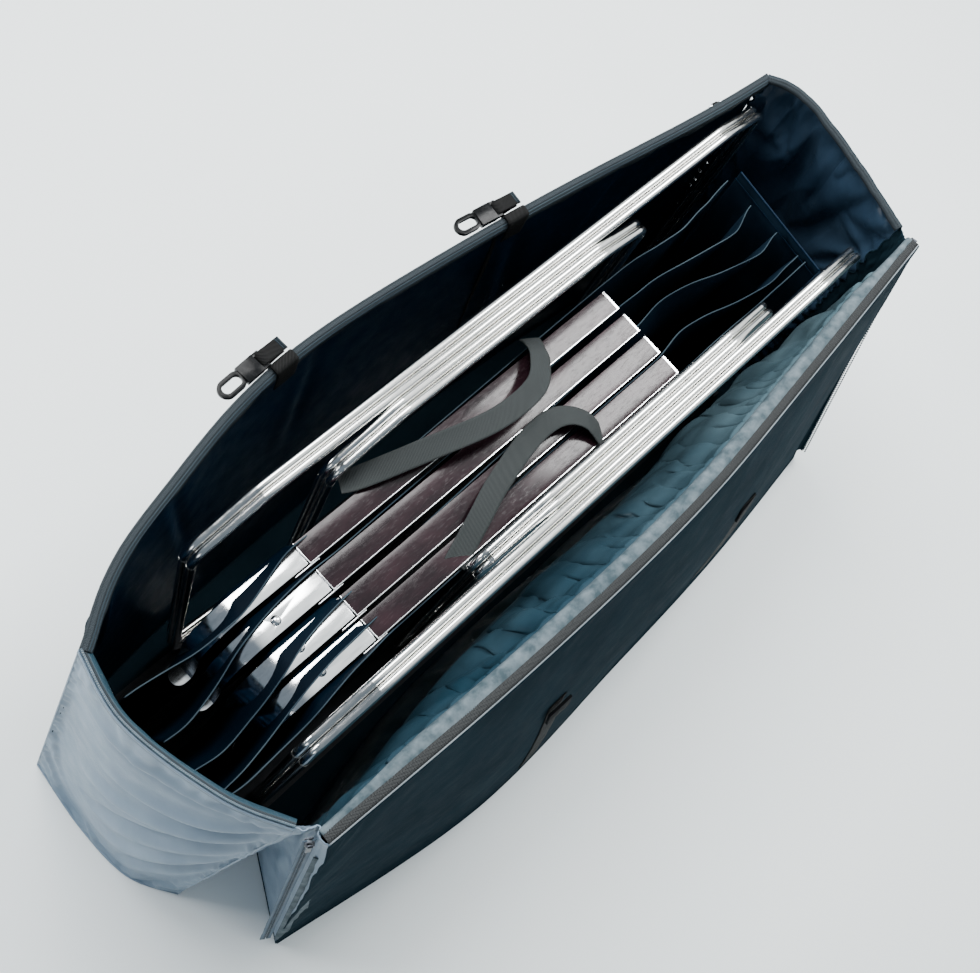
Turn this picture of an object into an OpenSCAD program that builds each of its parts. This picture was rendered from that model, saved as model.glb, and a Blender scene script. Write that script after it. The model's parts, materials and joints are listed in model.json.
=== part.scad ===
/* [Bag] */
// Height of the bag's rim above the floor
bag_h = 530; // [520:1:560]
// Thickness of the bag's cloth walls
cloth = 2; // [1.5:0.5:3]
// Thickness of the base cloth
base_t = 3; // [2:0.5:4]
// Thickness of the stiff board inside the base
board_t = 4; // [3:0.5:5]
// Height of the cloth dividers
divider_h = 458; // [430:1:460]
// Width of the bag's webbing straps
strap_w = 34; // [25:1:40]

/* [Stand frames] */
// Outer length of a long frame
long_l = 1014; // [980:1:1020]
// Outer length of a short frame
short_l = 558; // [520:1:580]
// Height of the top of every frame
frame_top = 521; // [500:1:525]
// Outside diameter of the frame tube
tube_d = 11; // [9:0.5:11]
// Bend radius of a frame's corners, to the tube's centre line
bend_r = 26; // [20:1:40]
// Length of the sloping part at each end of a frame's rails
slope_l = 104; // [80:1:120]
// Drop of that sloping part
slope_drop = 30; // [15:1:40]
// Distance between neighbouring frames
frame_pitch = 11.4; // [11.4:0.1:12]

/* [Desks] */
// Length of a desk
desk_l = 519; // [480:1:530]
// Width of a desk's ledge
ledge_w = 28; // [22:1:28]
// Height of the top of a desk
desk_top = 466; // [462:1:480]
// Thickness of a desk's sheet
desk_t = 1.5; // [1:0.5:3]
// Depth of the lip at the ledge's free edge
lip_h = 14; // [10:1:20]

/* [Hidden] */
$fn = 32;
gap = 0.5;
fine_gap = 0.06;

// Plan outlines of the bag's walls, at the floor and at the rim: the base centre is the origin.
back_foot = [[-617, 199], [-430, 235], [-130, 252], [270, 248], [640, 212]];
back_rim = [[-541, 188], [-408, 257], [-122, 304], [259, 268], [623, 225]];
near_foot = [[-591, -54], [-624, 10], [-628, 100], [-617, 199]];
near_rim = [[-500, -80], [-533, -11], [-556, 105], [-541, 188]];
far_foot = [[640, 212], [652, 120], [648, 20], [626, -60]];
far_rim = [[623, 225], [648, 170], [634, 60], [606, -50]];
front_foot = [[606, -217], [355, -241], [99, -250], [-217, -253], [-541, -190]];
front_rim = [[606, -84], [335, -112], [75, -134], [-215, -132], [-487, -116]];
lining_foot = [[585, -125], [350, -76], [80, -68], [-215, -74], [-490, -125]];
lining_rim = [[588, -80], [335, -106], [75, -128], [-215, -126], [-468, -112]];
near_valley_foot = [-470, -62];
near_valley_rim = [-485, -92];
near_corner = [[-543, -187], [-489, -110]];
near_crease = [[-593, -57], [-501, -83]];
far_valley_foot = [597, -130];
far_valley_rim = [599, -68];
far_corner = [[608, -214], [608, -82]];
far_crease = [[627, -63], [607, -53]];
fold_gap = 1;
wall_cols = 20;
end_cols = 10;
wall_rows = 5;
front_bulge = 14;
end_bulge = 8;
lining_curve = 1.6;

// Heights of what stands on the base.
board_top = base_t + board_t;
stand_z = board_top + 1;
zip_h = 3;
zip_w = 6;
hem_w = 9;
piping_w = 3;
board_x0 = -560;
board_x1 = 580;
board_y0 = -50;
board_y1 = 203;

// Dividers and desks, from the back of the bag to the front.
divider_y = [150, 113, 73.5, 36.5, 3.5];
divider_x0 = -530;
divider_x1 = 519;
divider_t = 1.6;
band_h = 485;
band_y0 = -18;
desk_y = [131.8, 93.3, 55, 20.6];
desk_x0 = -292;
desk_z0 = 10;
trim_t = 1.2;
trim_proud = 0.4;
end_trim_t = 3.5;
joint_gap = 1.8;
arm_t = 2.5;
arm_w = 27;
arm_flat = 86;
arm_r = 62;
arm_angle = 88;
arm_drop = 88;
arm_steps = 12;
foot_d = 24;
foot_l = 8;
tongue_l = 11;
tongue_back = 8;
tongue_w = 18;
tongue_sink = 0.5;
rivet_x = 71;
rivet_r = 6;
rivet_h = 3;
shank_r = 2.5;
head_t = 1.2;
head_r = shank_r + 1.2;

// Frames: the outermost frame's centre line comes first in each group.
back_frames_y = 208.1;
front_frames_y = -37.5;
long_back_x = -397;
long_front_x = -444;
short_back_x = -219;
short_front_x = -162;
slope_bend_r = 60;
lap = 1;
bend_thinning = 0.1;

// Corner zips: each runs from the rim's corner down to the foot.
near_zip_top = [-495, -98, 521];
near_zip_foot = [-548, -174, 22];
near_zip_turn = 0;
far_zip_top = [613, -73, 521];
far_zip_foot = [613, -222, 22];
far_zip_turn = -90;
chain_w = 2.4;
chain_slot = 1.4;
chain_t = 2;
tape_w = 4;
tape_t = 0.8;
slider_l = 12;
slider_w = 9;
slider_t = 1.2;
slider_post_w = 1;
post_inset = 1;
ear_l = 4;
pin_along = 3;
slider_gap = 3;
ear_t = 1.6;
pin_r = 0.9;
pin_out = 5.2;
puller_l = 22;
puller_w = 5.6;
puller_t = 1.4;
eye_r = 2;

// Webbing straps over the back wall, as positions along that wall.
strap_t = 2;
strap_at = [0.457, 0.693];
strap_in_h = 46;
strap_low = 0.06;
strap_root = 3;
strap_tuck = 0.5;
over_w = strap_w - 2;
barrel_r = 5;
barrel_w = 12;
barrel_lap = 1;
tab_l = 20;
tab_sink = 0.3;
clip_bar_r = 3;
clip_w = 22;
clip_y = 14.5;
clip_arm_w = 4;
clip_reach = barrel_r + 2;
clip_lap = 3;
clip_bar_x = barrel_lap - strap_w / 2 - barrel_r;
clip_body_l = 24;
clip_body_h = 9;
clip_ring_l = 36;
clip_ring_t = 5;
front_strap_at = [0.32, 0.68];
front_strap_top = 0.6;
buckle_t = 4;
buckle_w = 39;
buckle_at = [front_strap_top - 0.07, front_strap_top - 0.01];

// Pull ring near the far end of the back wall.
ring_at = 0.918;
ring_r = 10;
ring_wire = 1.2;
ring_barrel_l = 8;
ring_barrel_r = 2.6;
ring_tab_t = 3;
ring_tab_h = 9;
ring_out = 4.5;
ring_drop = 14;

// Carrying handles of the divider insert, laid over the desks.
handle_back_path = [
    [-186, 156, 469, 52], [-170, 150, 475, 60], [-111, 131, 485, 70], [-24, 105, 497, 78],
    [44, 104, 499, 100], [82, 128, 488, 138], [96, 148, 476, 156], [101, 158, 469, 164]
];
handle_front_path = [
    [-146, 20, 469, 110], [-112, 32, 475, 110], [-66, 48, 479, 106], [8, 64, 479, 92],
    [52, 60, 481, 62], [76, 38, 478, 22], [80, 12, 469, 6]
];
handle_w = 28;
handle_t = 1.6;

function lerp(a, b, t) = a + (b - a) * t;
function unit(v) = v / norm(v);
function left_of(v) = [-v[1], v[0]];

// Smooth curve through a list of points, at t from 0 to 1.
function knot(p, i) = p[max(0, min(len(p) - 1, i))];
function blend4(a, b, c, d, t) =
    0.5 * (2 * b + (c - a) * t + (2 * a - 5 * b + 4 * c - d) * t * t + (3 * b - a - 3 * c + d) * t * t * t);
function curve(p, t) =
    let (s = t * (len(p) - 1), i = min(floor(s), len(p) - 2))
    blend4(knot(p, i - 1), knot(p, i), knot(p, i + 1), knot(p, i + 2), s - i);
function curve_dir(p, t) = unit(curve(p, min(1, t + 0.01)) - curve(p, max(0, t - 0.01)));

// Point of a wall at t along it and v up it, moved outwards by off. The walls run clockwise in plan.
function wall_z(v) = lerp(base_t, bag_h, v);
function wall_point(foot, rim, t, v, off, bulge, bend = 1) =
    let (
        plan = lerp(curve(foot, t), curve(rim, t), pow(v, bend)),
        out = left_of(lerp(curve_dir(foot, t), curve_dir(rim, t), v)),
        p = plan + unit(out) * (off + bulge * sin(180 * v) * sin(180 * t))
    )
    [p[0], p[1], wall_z(v)];
function wall_grid(foot, rim, span, rise, off, bulge, cols, rows, bend = 1) = [
    for (r = [0:rows]) [
        for (c = [0:cols])
            wall_point(
                foot, rim,
                lerp(span[0], span[1], c / cols), lerp(rise[0], rise[1], r / rows),
                off, bulge, bend
            )
    ]
];

// Solid between two grids of points of the same size.
module slab(outer, inner) {
    rows = len(outer);
    cols = len(outer[0]);
    function at(s, r, c) = s * rows * cols + r * cols + c;
    points = [for (side = [outer, inner]) for (row = side) for (p = row) p];
    faces = concat(
        [for (r = [0:rows - 2]) for (c = [0:cols - 2]) [at(0, r, c), at(0, r, c + 1), at(0, r + 1, c + 1)]],
        [for (r = [0:rows - 2]) for (c = [0:cols - 2]) [at(0, r, c), at(0, r + 1, c + 1), at(0, r + 1, c)]],
        [for (r = [0:rows - 2]) for (c = [0:cols - 2]) [at(1, r, c), at(1, r + 1, c + 1), at(1, r, c + 1)]],
        [for (r = [0:rows - 2]) for (c = [0:cols - 2]) [at(1, r, c), at(1, r + 1, c), at(1, r + 1, c + 1)]],
        [for (c = [0:cols - 2]) [at(0, 0, c), at(1, 0, c), at(1, 0, c + 1)]],
        [for (c = [0:cols - 2]) [at(0, 0, c), at(1, 0, c + 1), at(0, 0, c + 1)]],
        [for (c = [0:cols - 2]) [at(0, rows - 1, c), at(1, rows - 1, c + 1), at(1, rows - 1, c)]],
        [for (c = [0:cols - 2]) [at(0, rows - 1, c), at(0, rows - 1, c + 1), at(1, rows - 1, c + 1)]],
        [for (r = [0:rows - 2]) [at(0, r, 0), at(0, r + 1, 0), at(1, r + 1, 0)]],
        [for (r = [0:rows - 2]) [at(0, r, 0), at(1, r + 1, 0), at(1, r, 0)]],
        [for (r = [0:rows - 2]) [at(0, r, cols - 1), at(1, r + 1, cols - 1), at(0, r + 1, cols - 1)]],
        [for (r = [0:rows - 2]) [at(0, r, cols - 1), at(1, r, cols - 1), at(1, r + 1, cols - 1)]]
    );
    polyhedron(points, faces);
}

module cloth_wall(foot, rim, cols, bulge, span = [0.004, 0.996], bend = 1) {
    slab(
        wall_grid(foot, rim, span, [0, 1], 0, bulge, cols, wall_rows, bend),
        wall_grid(foot, rim, span, [0, 1], -cloth, bulge, cols, wall_rows, bend)
    );
}

// Strip that lies on a wall, between two distances from it.
module wall_patch(foot, rim, at, half, rise, near_off, far_off, bulge) {
    slab(
        wall_grid(foot, rim, [at - half, at + half], rise, far_off, bulge, 2, wall_rows),
        wall_grid(foot, rim, [at - half, at + half], rise, near_off, bulge, 2, wall_rows)
    );
}

function outline(p, cols) = [for (c = [0:cols - 1]) curve(p, c / cols)];
function rim_line(p, off, cols, span = [0.004, 0.996]) = [
    for (c = [0:cols])
        let (t = lerp(span[0], span[1], c / cols)) curve(p, t) + left_of(curve_dir(p, t)) * off
];
function reversed(p) = [for (i = [len(p) - 1:-1:0]) p[i]];

module rim_band(p, off_a, off_b, h, cols) {
    translate([0, 0, bag_h])
        linear_extrude(h)
            polygon(concat(rim_line(p, off_a, cols), reversed(rim_line(p, off_b, cols))));
}

// Turns the z axis to point from p to q, with a turn about it first.
module aim(p, q, turn) {
    d = q - p;
    translate(p)
        rotate([0, acos(d[2] / norm(d)), atan2(d[1], d[0])])
            rotate([0, 0, turn])
                children();
}

module bottom_panel() {
    color("#101826")
        linear_extrude(base_t)
            polygon(concat(
                outline(near_foot, end_cols), outline(back_foot, wall_cols), outline(far_foot, end_cols),
                [far_foot[3], far_valley_foot],
                outline(front_foot, wall_cols),
                [front_foot[4], near_valley_foot]
            ));
}

module bottom_board() {
    color("#1b2028")
        translate([board_x0, board_y0, base_t])
            cube([board_x1 - board_x0, board_y1 - board_y0, board_t]);
}

module back_wall() {
    color("#0f1c2c")
        cloth_wall(back_foot, back_rim, wall_cols, 0);
}

module front_wall() {
    color("#10202e")
        cloth_wall(front_foot, front_rim, wall_cols, front_bulge);
}

module front_lining() {
    color("#5c7f8c")
        cloth_wall(lining_foot, lining_rim, wall_cols, 0, bend = lining_curve);
}

module near_end_panel() {
    color("#7f93a6")
        cloth_wall(near_foot, near_rim, end_cols, end_bulge);
}

module far_end_panel() {
    color("#16263a")
        cloth_wall(far_foot, far_rim, end_cols, end_bulge);
}

// One flat side of a corner fold, from line a to line b, each given as [foot, rim].
module fold_side(a, b) {
    function edge(e, v, shift) = concat(lerp(e[0], e[1], v) + shift, [wall_z(v)]);
    out = left_of(unit(b[0] - a[0])) * cloth;
    slab(
        [for (v = [0, 1]) [edge(a, v, [0, 0]), edge(b, v, [0, 0])]],
        [for (v = [0, 1]) [edge(a, v, -out), edge(b, v, -out)]]
    );
}

module near_gusset() {
    valley = [near_valley_foot, near_valley_rim];
    shift = [-fold_gap, fold_gap];
    color("#7f93a6") {
        fold_side(near_corner, valley);
        fold_side(valley + [shift, shift], near_crease);
    }
}

module far_gusset() {
    valley = [far_valley_foot, far_valley_rim];
    shift = [fold_gap, -fold_gap];
    color("#16263a") {
        fold_side(far_crease, valley);
        fold_side(valley + [shift, shift], far_corner);
    }
}

module divider(i) {
    color("#142436")
        translate([divider_x0, divider_y[i] - divider_t / 2, board_top])
            cube([divider_x1 - divider_x0, divider_t, divider_h - board_top]);
}

module divider_end_band() {
    color("#142436")
        translate([divider_x1, band_y0, board_top])
            cube([divider_t, divider_y[0] + divider_t - band_y0, band_h - board_top]);
}

module rim_zip() {
    color("#20303c") {
        rim_band(near_rim, 0, -zip_w, zip_h, end_cols);
        rim_band(back_rim, 0, -zip_w, zip_h, wall_cols);
        rim_band(far_rim, 0, -zip_w, zip_h, end_cols);
    }
}

module hem_zip() {
    color("#555a5e")
        rim_band(front_rim, -piping_w, -piping_w - hem_w, zip_h, wall_cols);
}

module hem_piping() {
    color("#c9cdd0")
        rim_band(front_rim, 0, -piping_w, zip_h, wall_cols);
}

// Two rows of teeth with a slot between them, and the tape beside each row.
module corner_zip(top, foot, turn) {
    l = norm(foot - top);
    color("#3b5163")
        aim(top, foot, turn)
            for (side = [0, 1])
                mirror([0, side, 0]) {
                    translate([-chain_t / 2, chain_slot / 2, 0])
                        cube([chain_t, chain_w, l]);
                    translate([-tape_t / 2, chain_slot / 2 + chain_w, 0])
                        cube([tape_t, tape_w, l]);
                }
}

// Two plates joined by a post that runs in the zip's slot, and a pin between two ears.
module slider(top, foot, turn) {
    plate_in = slider_gap / 2;
    ear_h = pin_out + pin_r - plate_in;
    color("#24282d")
        aim(top, foot, turn) {
            for (x = [plate_in, -plate_in - slider_t])
                translate([x, -slider_w / 2, 0])
                    cube([slider_t, slider_w, slider_l]);
            translate([-plate_in - slider_t / 2, -slider_post_w / 2, post_inset])
                cube([slider_gap + slider_t, slider_post_w, slider_l - 2 * post_inset]);
            for (side = [-1, 1])
                translate([
                    -plate_in - ear_h, side * (slider_w - ear_t) / 2 - ear_t / 2, pin_along - ear_l / 2
                ])
                    cube([ear_h, ear_t, ear_l]);
            translate([-pin_out, 0, pin_along])
                rotate([90, 0, 0])
                    cylinder(r = pin_r, h = slider_w - ear_t, center = true);
        }
}

module puller(top, foot, turn) {
    color("#24282d")
        aim(top, foot, turn)
            translate([-pin_out, 0, pin_along])
                difference() {
                    union() {
                        rotate([90, 0, 0])
                            cylinder(r = eye_r, h = puller_w, center = true);
                        translate([-puller_t / 2, -puller_w / 2, 0])
                            cube([puller_t, puller_w, puller_l]);
                    }
                    rotate([90, 0, 0])
                        cylinder(r = pin_r + fine_gap, h = 2 * puller_w, center = true);
                }
}

// Places its children on the back rim, x along the rim and y outwards.
module on_back_rim(at, z) {
    p = curve(back_rim, at);
    d = curve_dir(back_rim, at);
    translate([p[0], p[1], z])
        rotate([0, 0, atan2(d[1], d[0])])
            children();
}

module ring_tab() {
    color("#15181c")
        on_back_rim(ring_at, bag_h - ring_drop)
            difference() {
                union() {
                    translate([-ring_barrel_l / 2, gap, -ring_barrel_r])
                        cube([ring_barrel_l, ring_tab_t, ring_tab_h]);
                    translate([0, ring_out, 0])
                        rotate([0, 90, 0])
                            cylinder(r = ring_barrel_r, h = ring_barrel_l, center = true);
                }
                translate([0, ring_out, 0])
                    rotate([0, 90, 0])
                        cylinder(r = ring_wire + fine_gap, h = 2 * ring_barrel_l, center = true);
            }
}

// D-shaped ring: a straight bar closed by half a hoop, hanging from its bar.
module pull_ring() {
    color("#d5dadd")
        on_back_rim(ring_at, bag_h - ring_drop)
            translate([0, ring_out, 0]) {
                rotate([0, 90, 0])
                    cylinder(r = ring_wire, h = 2 * ring_r, center = true);
                rotate([90, 0, 0])
                    rotate([0, 0, 180])
                        rotate_extrude(angle = 180)
                            translate([ring_r, 0])
                                circle(ring_wire);
                for (side = [-1, 1])
                    translate([side * ring_r, 0, 0])
                        sphere(ring_wire);
            }
}

// Half a strip's width as a share of a curve, at one place along it.
function half_share(p, at, w) = 0.01 * w / norm(curve(p, at + 0.01) - curve(p, at - 0.01));

// Strap up the back wall and over its rim, with a tab whose barrel holds the clip's bar.
module back_strap(at) {
    inner = -zip_w - gap;
    top = zip_h + gap;
    near = gap + strap_tuck;
    far = gap + strap_t - strap_tuck;
    color("#2a2c2e") {
        wall_patch(
            back_foot, back_rim, at, half_share(back_rim, at, strap_w), [strap_low, 1], gap, gap + strap_t, 0
        );
        on_back_rim(at, bag_h)
            translate([-over_w / 2, 0, 0])
                rotate([90, 0, 90])
                    linear_extrude(over_w)
                        polygon([
                            [near, -strap_root], [far, -strap_root], [far, top + strap_t],
                            [inner - strap_t, top + strap_t], [inner - strap_t, top - strap_in_h],
                            [inner, top - strap_in_h], [inner, top], [near, top]
                        ]);
        on_back_rim(at, bag_h + top)
            difference() {
                union() {
                    translate([-strap_w / 2, 0, tab_sink])
                        cube([strap_w / 2, tab_l, strap_t - 2 * tab_sink]);
                    translate([clip_bar_x, clip_y, strap_t / 2])
                        rotate([90, 0, 0])
                            cylinder(r = barrel_r, h = barrel_w, center = true);
                }
                translate([clip_bar_x, clip_y, strap_t / 2])
                    rotate([90, 0, 0])
                        cylinder(r = clip_bar_r + fine_gap, h = 2 * barrel_w, center = true);
            }
    }
}

module stadium(l, w) {
    square([l - w, w], center = true);
    for (side = [-1, 1])
        translate([side * (l - w) / 2, 0])
            circle(w / 2);
}

// Clip: a bar held in the strap's loop, two arms, a body and an oval ring.
module clip(at) {
    color("#17191c")
        on_back_rim(at, bag_h + zip_h + gap + strap_t / 2)
            translate([clip_bar_x, clip_y, 0]) {
                rotate([90, 0, 0])
                    cylinder(r = clip_bar_r, h = clip_w, center = true);
                for (side = [-1, 1])
                    translate([
                        -clip_reach - barrel_lap,
                        side * (clip_w - clip_arm_w) / 2 - clip_arm_w / 2,
                        -clip_bar_r
                    ])
                        cube([clip_reach + barrel_lap, clip_arm_w, 2 * clip_bar_r]);
                translate([-clip_reach - clip_body_l, -clip_w / 2, -clip_body_h / 2])
                    cube([clip_body_l, clip_w, clip_body_h]);
                translate([clip_lap - clip_reach - clip_body_l - clip_ring_l / 2, 0, -clip_ring_t / 2])
                    linear_extrude(clip_ring_t)
                        difference() {
                            stadium(clip_ring_l, clip_w);
                            stadium(clip_ring_l - 2 * clip_ring_t, clip_w - 2 * clip_ring_t);
                        }
            }
}

module front_straps() {
    color("#1d2022")
        for (at = front_strap_at)
            wall_patch(
                front_foot, front_rim, at, half_share(front_rim, at, strap_w), [strap_low, front_strap_top],
                gap, gap + strap_t, front_bulge
            );
}

module front_buckles() {
    color("#121315")
        for (at = front_strap_at)
            wall_patch(
                front_foot, front_rim, at, half_share(front_rim, at, buckle_w), buckle_at,
                gap + strap_t, gap + strap_t + buckle_t, front_bulge
            );
}

// Flat webbing along a smooth path of [x, y, z, direction of its width in plan].
module webbing(path, steps) {
    function edge_of(p, side) = [p[0], p[1], p[2]] + side * handle_w / 2 * [cos(p[3]), sin(p[3]), 0];
    function section(t, z) = [for (side = [-1, 1]) edge_of(curve(path, t), side) + [0, 0, z]];
    slab(
        [for (i = [0:steps]) section(i / steps, 0)],
        [for (i = [0:steps]) section(i / steps, handle_t)]
    );
}

module inner_handle_back() {
    color("#46494a")
        webbing(handle_back_path, 28);
}

module inner_handle_front() {
    color("#46494a")
        webbing(handle_front_path, 24);
}

// Closed loop of round tube through a ring of [x, y, bend radius], drawn flat and bent at each corner.
module tube_loop(path) {
    n = len(path);
    function at(i) = let (p = path[(i + n) % n]) [p[0], p[1]];
    function heading(i) = unit(at(i + 1) - at(i));
    function bend(i) = acos(heading(i - 1) * heading(i));
    function set_back(i) = path[(i + n) % n][2] * tan(bend(i) / 2);
    for (i = [0:n - 1]) {
        from = at(i) + heading(i) * (set_back(i) - lap);
        run = norm(at(i + 1) - at(i)) - set_back(i) - set_back(i + 1) + 2 * lap;
        centre = at(i) - heading(i - 1) * set_back(i) + left_of(heading(i - 1)) * path[i][2];
        translate([from[0], from[1], 0])
            rotate([0, 0, atan2(heading(i)[1], heading(i)[0])])
                rotate([0, 90, 0])
                    cylinder(d = tube_d, h = run);
        translate([centre[0], centre[1], 0])
            rotate([0, 0, atan2(heading(i - 1)[1], heading(i - 1)[0]) - 90])
                rotate_extrude(angle = bend(i))
                    translate([path[i][2], 0])
                        circle(d = tube_d - bend_thinning);
    }
}

// Frame standing on edge: its rails slope towards the legs at both ends.
module frame_loop(x0, l, y) {
    h = frame_top - stand_z;
    x = (l - tube_d) / 2;
    z = (h - tube_d) / 2;
    color("#e6eaec")
        translate([x0 + l / 2, y, stand_z + h / 2])
            rotate([90, 0, 0])
                tube_loop([
                    [x, z - slope_drop, bend_r], [x - slope_l, z, slope_bend_r],
                    [slope_l - x, z, slope_bend_r], [-x, z - slope_drop, bend_r],
                    [-x, slope_drop - z, bend_r], [slope_l - x, -z, slope_bend_r],
                    [x - slope_l, -z, slope_bend_r], [x, slope_drop - z, bend_r]
                ]);
}

module long_frame(i) {
    y = i < 2 ? back_frames_y - i * frame_pitch : front_frames_y + (i - 2) * frame_pitch;
    frame_loop(i < 2 ? long_back_x : long_front_x, long_l, y);
}

module short_frame(i) {
    y = i < 2 ? back_frames_y - (i + 2) * frame_pitch : front_frames_y + i * frame_pitch;
    frame_loop(i < 2 ? short_back_x : short_front_x, short_l, y);
}

// Sheet desk standing on edge: a plate, the ledge along its top and the lip of the ledge.
module desk(i) {
    w = ledge_w / 2;
    color("#33242a")
        translate([desk_x0, desk_y[i], 0])
            rotate([90, 0, 90])
                linear_extrude(desk_l)
                    polygon([
                        [w, desk_z0], [w, desk_top], [-w, desk_top], [-w, desk_top - lip_h],
                        [desk_t - w, desk_top - lip_h], [desk_t - w, desk_top - desk_t],
                        [w - desk_t, desk_top - desk_t], [w - desk_t, desk_z0]
                    ]);
}

// Bright edging around the ledge: both ends and the lip's outer face.
module desk_trim(i) {
    h = lip_h + trim_proud;
    color("#dfe3e6")
        translate([desk_x0, desk_y[i], desk_top + trim_proud - h]) {
            translate([-trim_t, -ledge_w / 2 - trim_t, h - trim_proud - desk_t])
                cube([trim_t, ledge_w + trim_t, desk_t + trim_proud]);
            translate([desk_l, -ledge_w / 2 - trim_t, 0])
                cube([end_trim_t, ledge_w + trim_t, h]);
            translate([0, -ledge_w / 2 - trim_t, 0])
                cube([desk_l, trim_t, h]);
        }
}

// Sheet-metal arm that goes on from the ledge, bends down and ends in a level, rounded foot.
module desk_arm(i) {
    start = trim_t + joint_gap;
    bend_x = -start - arm_flat;
    function on_arc(r, a) = [bend_x - r * sin(a), r * cos(a) - arm_r];
    function arc(r) = [for (k = [0:arm_steps]) on_arc(r, arm_angle * k / arm_steps)];
    run = [-cos(arm_angle), -sin(arm_angle)] * arm_drop;
    tip = on_arc(arm_r, arm_angle) + run;
    color("#e8ecee")
        translate([desk_x0, desk_y[i], desk_top])
            difference() {
                union() {
                    translate([0, arm_w / 2, 0])
                        rotate([90, 0, 0])
                            linear_extrude(arm_w)
                                polygon(concat(
                                    [[-start, 0]], arc(arm_r), [tip, on_arc(arm_r - arm_t, arm_angle) + run],
                                    reversed(arc(arm_r - arm_t)), [[-start, -arm_t]]
                                ));
                    translate([tip[0], 0, tip[1] + 1])
                        linear_extrude(arm_t) {
                            translate([-foot_l, -foot_d / 2])
                                square([foot_l + arm_t / 2, foot_d]);
                            translate([-foot_l, 0])
                                circle(d = foot_d);
                        }
                    translate([-start - tongue_back, -tongue_w / 2, -2 * arm_t])
                        cube([tongue_l, tongue_w, arm_t + tongue_sink]);
                }
                translate([-rivet_x, 0, -3 * arm_t])
                    cylinder(r = shank_r + fine_gap, h = 4 * arm_t);
            }
}

// Domed rivet in the arm.
module desk_rivet(i) {
    dome_r = (rivet_r * rivet_r + rivet_h * rivet_h) / (2 * rivet_h);
    color("#f2f4f5")
        translate([desk_x0 - rivet_x, desk_y[i], desk_top]) {
            intersection() {
                translate([0, 0, rivet_h - dome_r])
                    sphere(dome_r, $fn = 48);
                cylinder(r = rivet_r, h = rivet_h + 1);
            }
            translate([0, 0, -arm_t])
                cylinder(r = shank_r, h = arm_t);
            translate([0, 0, -arm_t - head_t])
                cylinder(r = head_r, h = head_t);
        }
}

bottom_panel();
bottom_board();
back_wall();
front_wall();
front_lining();
near_end_panel();
far_end_panel();
near_gusset();
far_gusset();
divider(0);  // divider_1
divider(1);  // divider_2
divider(2);  // divider_3
divider(3);  // divider_4
divider(4);  // divider_5
divider_end_band();
rim_zip();
hem_zip();
hem_piping();
corner_zip(near_zip_top, near_zip_foot, near_zip_turn);  // near_corner_zip
corner_zip(far_zip_top, far_zip_foot, far_zip_turn);  // far_corner_zip
slider(near_zip_top, near_zip_foot, near_zip_turn);  // near_slider
slider(far_zip_top, far_zip_foot, far_zip_turn);  // far_slider
puller(near_zip_top, near_zip_foot, near_zip_turn);  // near_puller
puller(far_zip_top, far_zip_foot, far_zip_turn);  // far_puller
ring_tab();
pull_ring();
back_strap(strap_at[0]);  // back_strap_1
back_strap(strap_at[1]);  // back_strap_2
clip(strap_at[0]);  // clip_1
clip(strap_at[1]);  // clip_2
front_straps();
front_buckles();
inner_handle_back();
inner_handle_front();
long_frame(0);  // long_frame_1
long_frame(1);  // long_frame_2
long_frame(2);  // long_frame_3
long_frame(3);  // long_frame_4
short_frame(0);  // short_frame_1
short_frame(1);  // short_frame_2
short_frame(2);  // short_frame_3
short_frame(3);  // short_frame_4
desk(0);  // desk_1
desk(1);  // desk_2
desk(2);  // desk_3
desk(3);  // desk_4
desk_trim(0);  // desk_trim_1
desk_trim(1);  // desk_trim_2
desk_trim(2);  // desk_trim_3
desk_trim(3);  // desk_trim_4
desk_arm(0);  // desk_arm_1
desk_arm(1);  // desk_arm_2
desk_arm(2);  // desk_arm_3
desk_arm(3);  // desk_arm_4
desk_rivet(0);  // desk_rivet_1
desk_rivet(1);  // desk_rivet_2
desk_rivet(2);  // desk_rivet_3
desk_rivet(3);  // desk_rivet_4
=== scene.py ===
import json
import math

import bmesh
import bpy
import numpy as np
from mathutils import Matrix, Vector


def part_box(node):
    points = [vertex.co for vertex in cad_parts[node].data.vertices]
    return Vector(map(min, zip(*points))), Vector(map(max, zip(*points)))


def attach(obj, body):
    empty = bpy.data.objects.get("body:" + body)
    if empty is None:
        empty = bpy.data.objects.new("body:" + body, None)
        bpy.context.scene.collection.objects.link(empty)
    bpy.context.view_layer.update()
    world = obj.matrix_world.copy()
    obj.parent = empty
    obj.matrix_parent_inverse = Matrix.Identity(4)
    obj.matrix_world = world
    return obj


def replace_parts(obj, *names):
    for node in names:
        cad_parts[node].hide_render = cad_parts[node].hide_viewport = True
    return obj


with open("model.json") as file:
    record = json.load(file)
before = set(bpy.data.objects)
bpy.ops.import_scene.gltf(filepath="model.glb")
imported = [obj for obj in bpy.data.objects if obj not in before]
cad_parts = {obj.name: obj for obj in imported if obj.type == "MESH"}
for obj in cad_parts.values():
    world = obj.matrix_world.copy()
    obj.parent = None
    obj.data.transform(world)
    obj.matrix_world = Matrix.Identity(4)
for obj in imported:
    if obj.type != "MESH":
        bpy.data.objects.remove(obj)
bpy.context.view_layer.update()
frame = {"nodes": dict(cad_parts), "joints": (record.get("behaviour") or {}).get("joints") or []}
NODES = frame["nodes"]
BAG = "bag"
MM = 0.001
UP = np.array([0.0, 0.0, 1.0])
LOOKS = {}
GRIDS = {}

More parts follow.
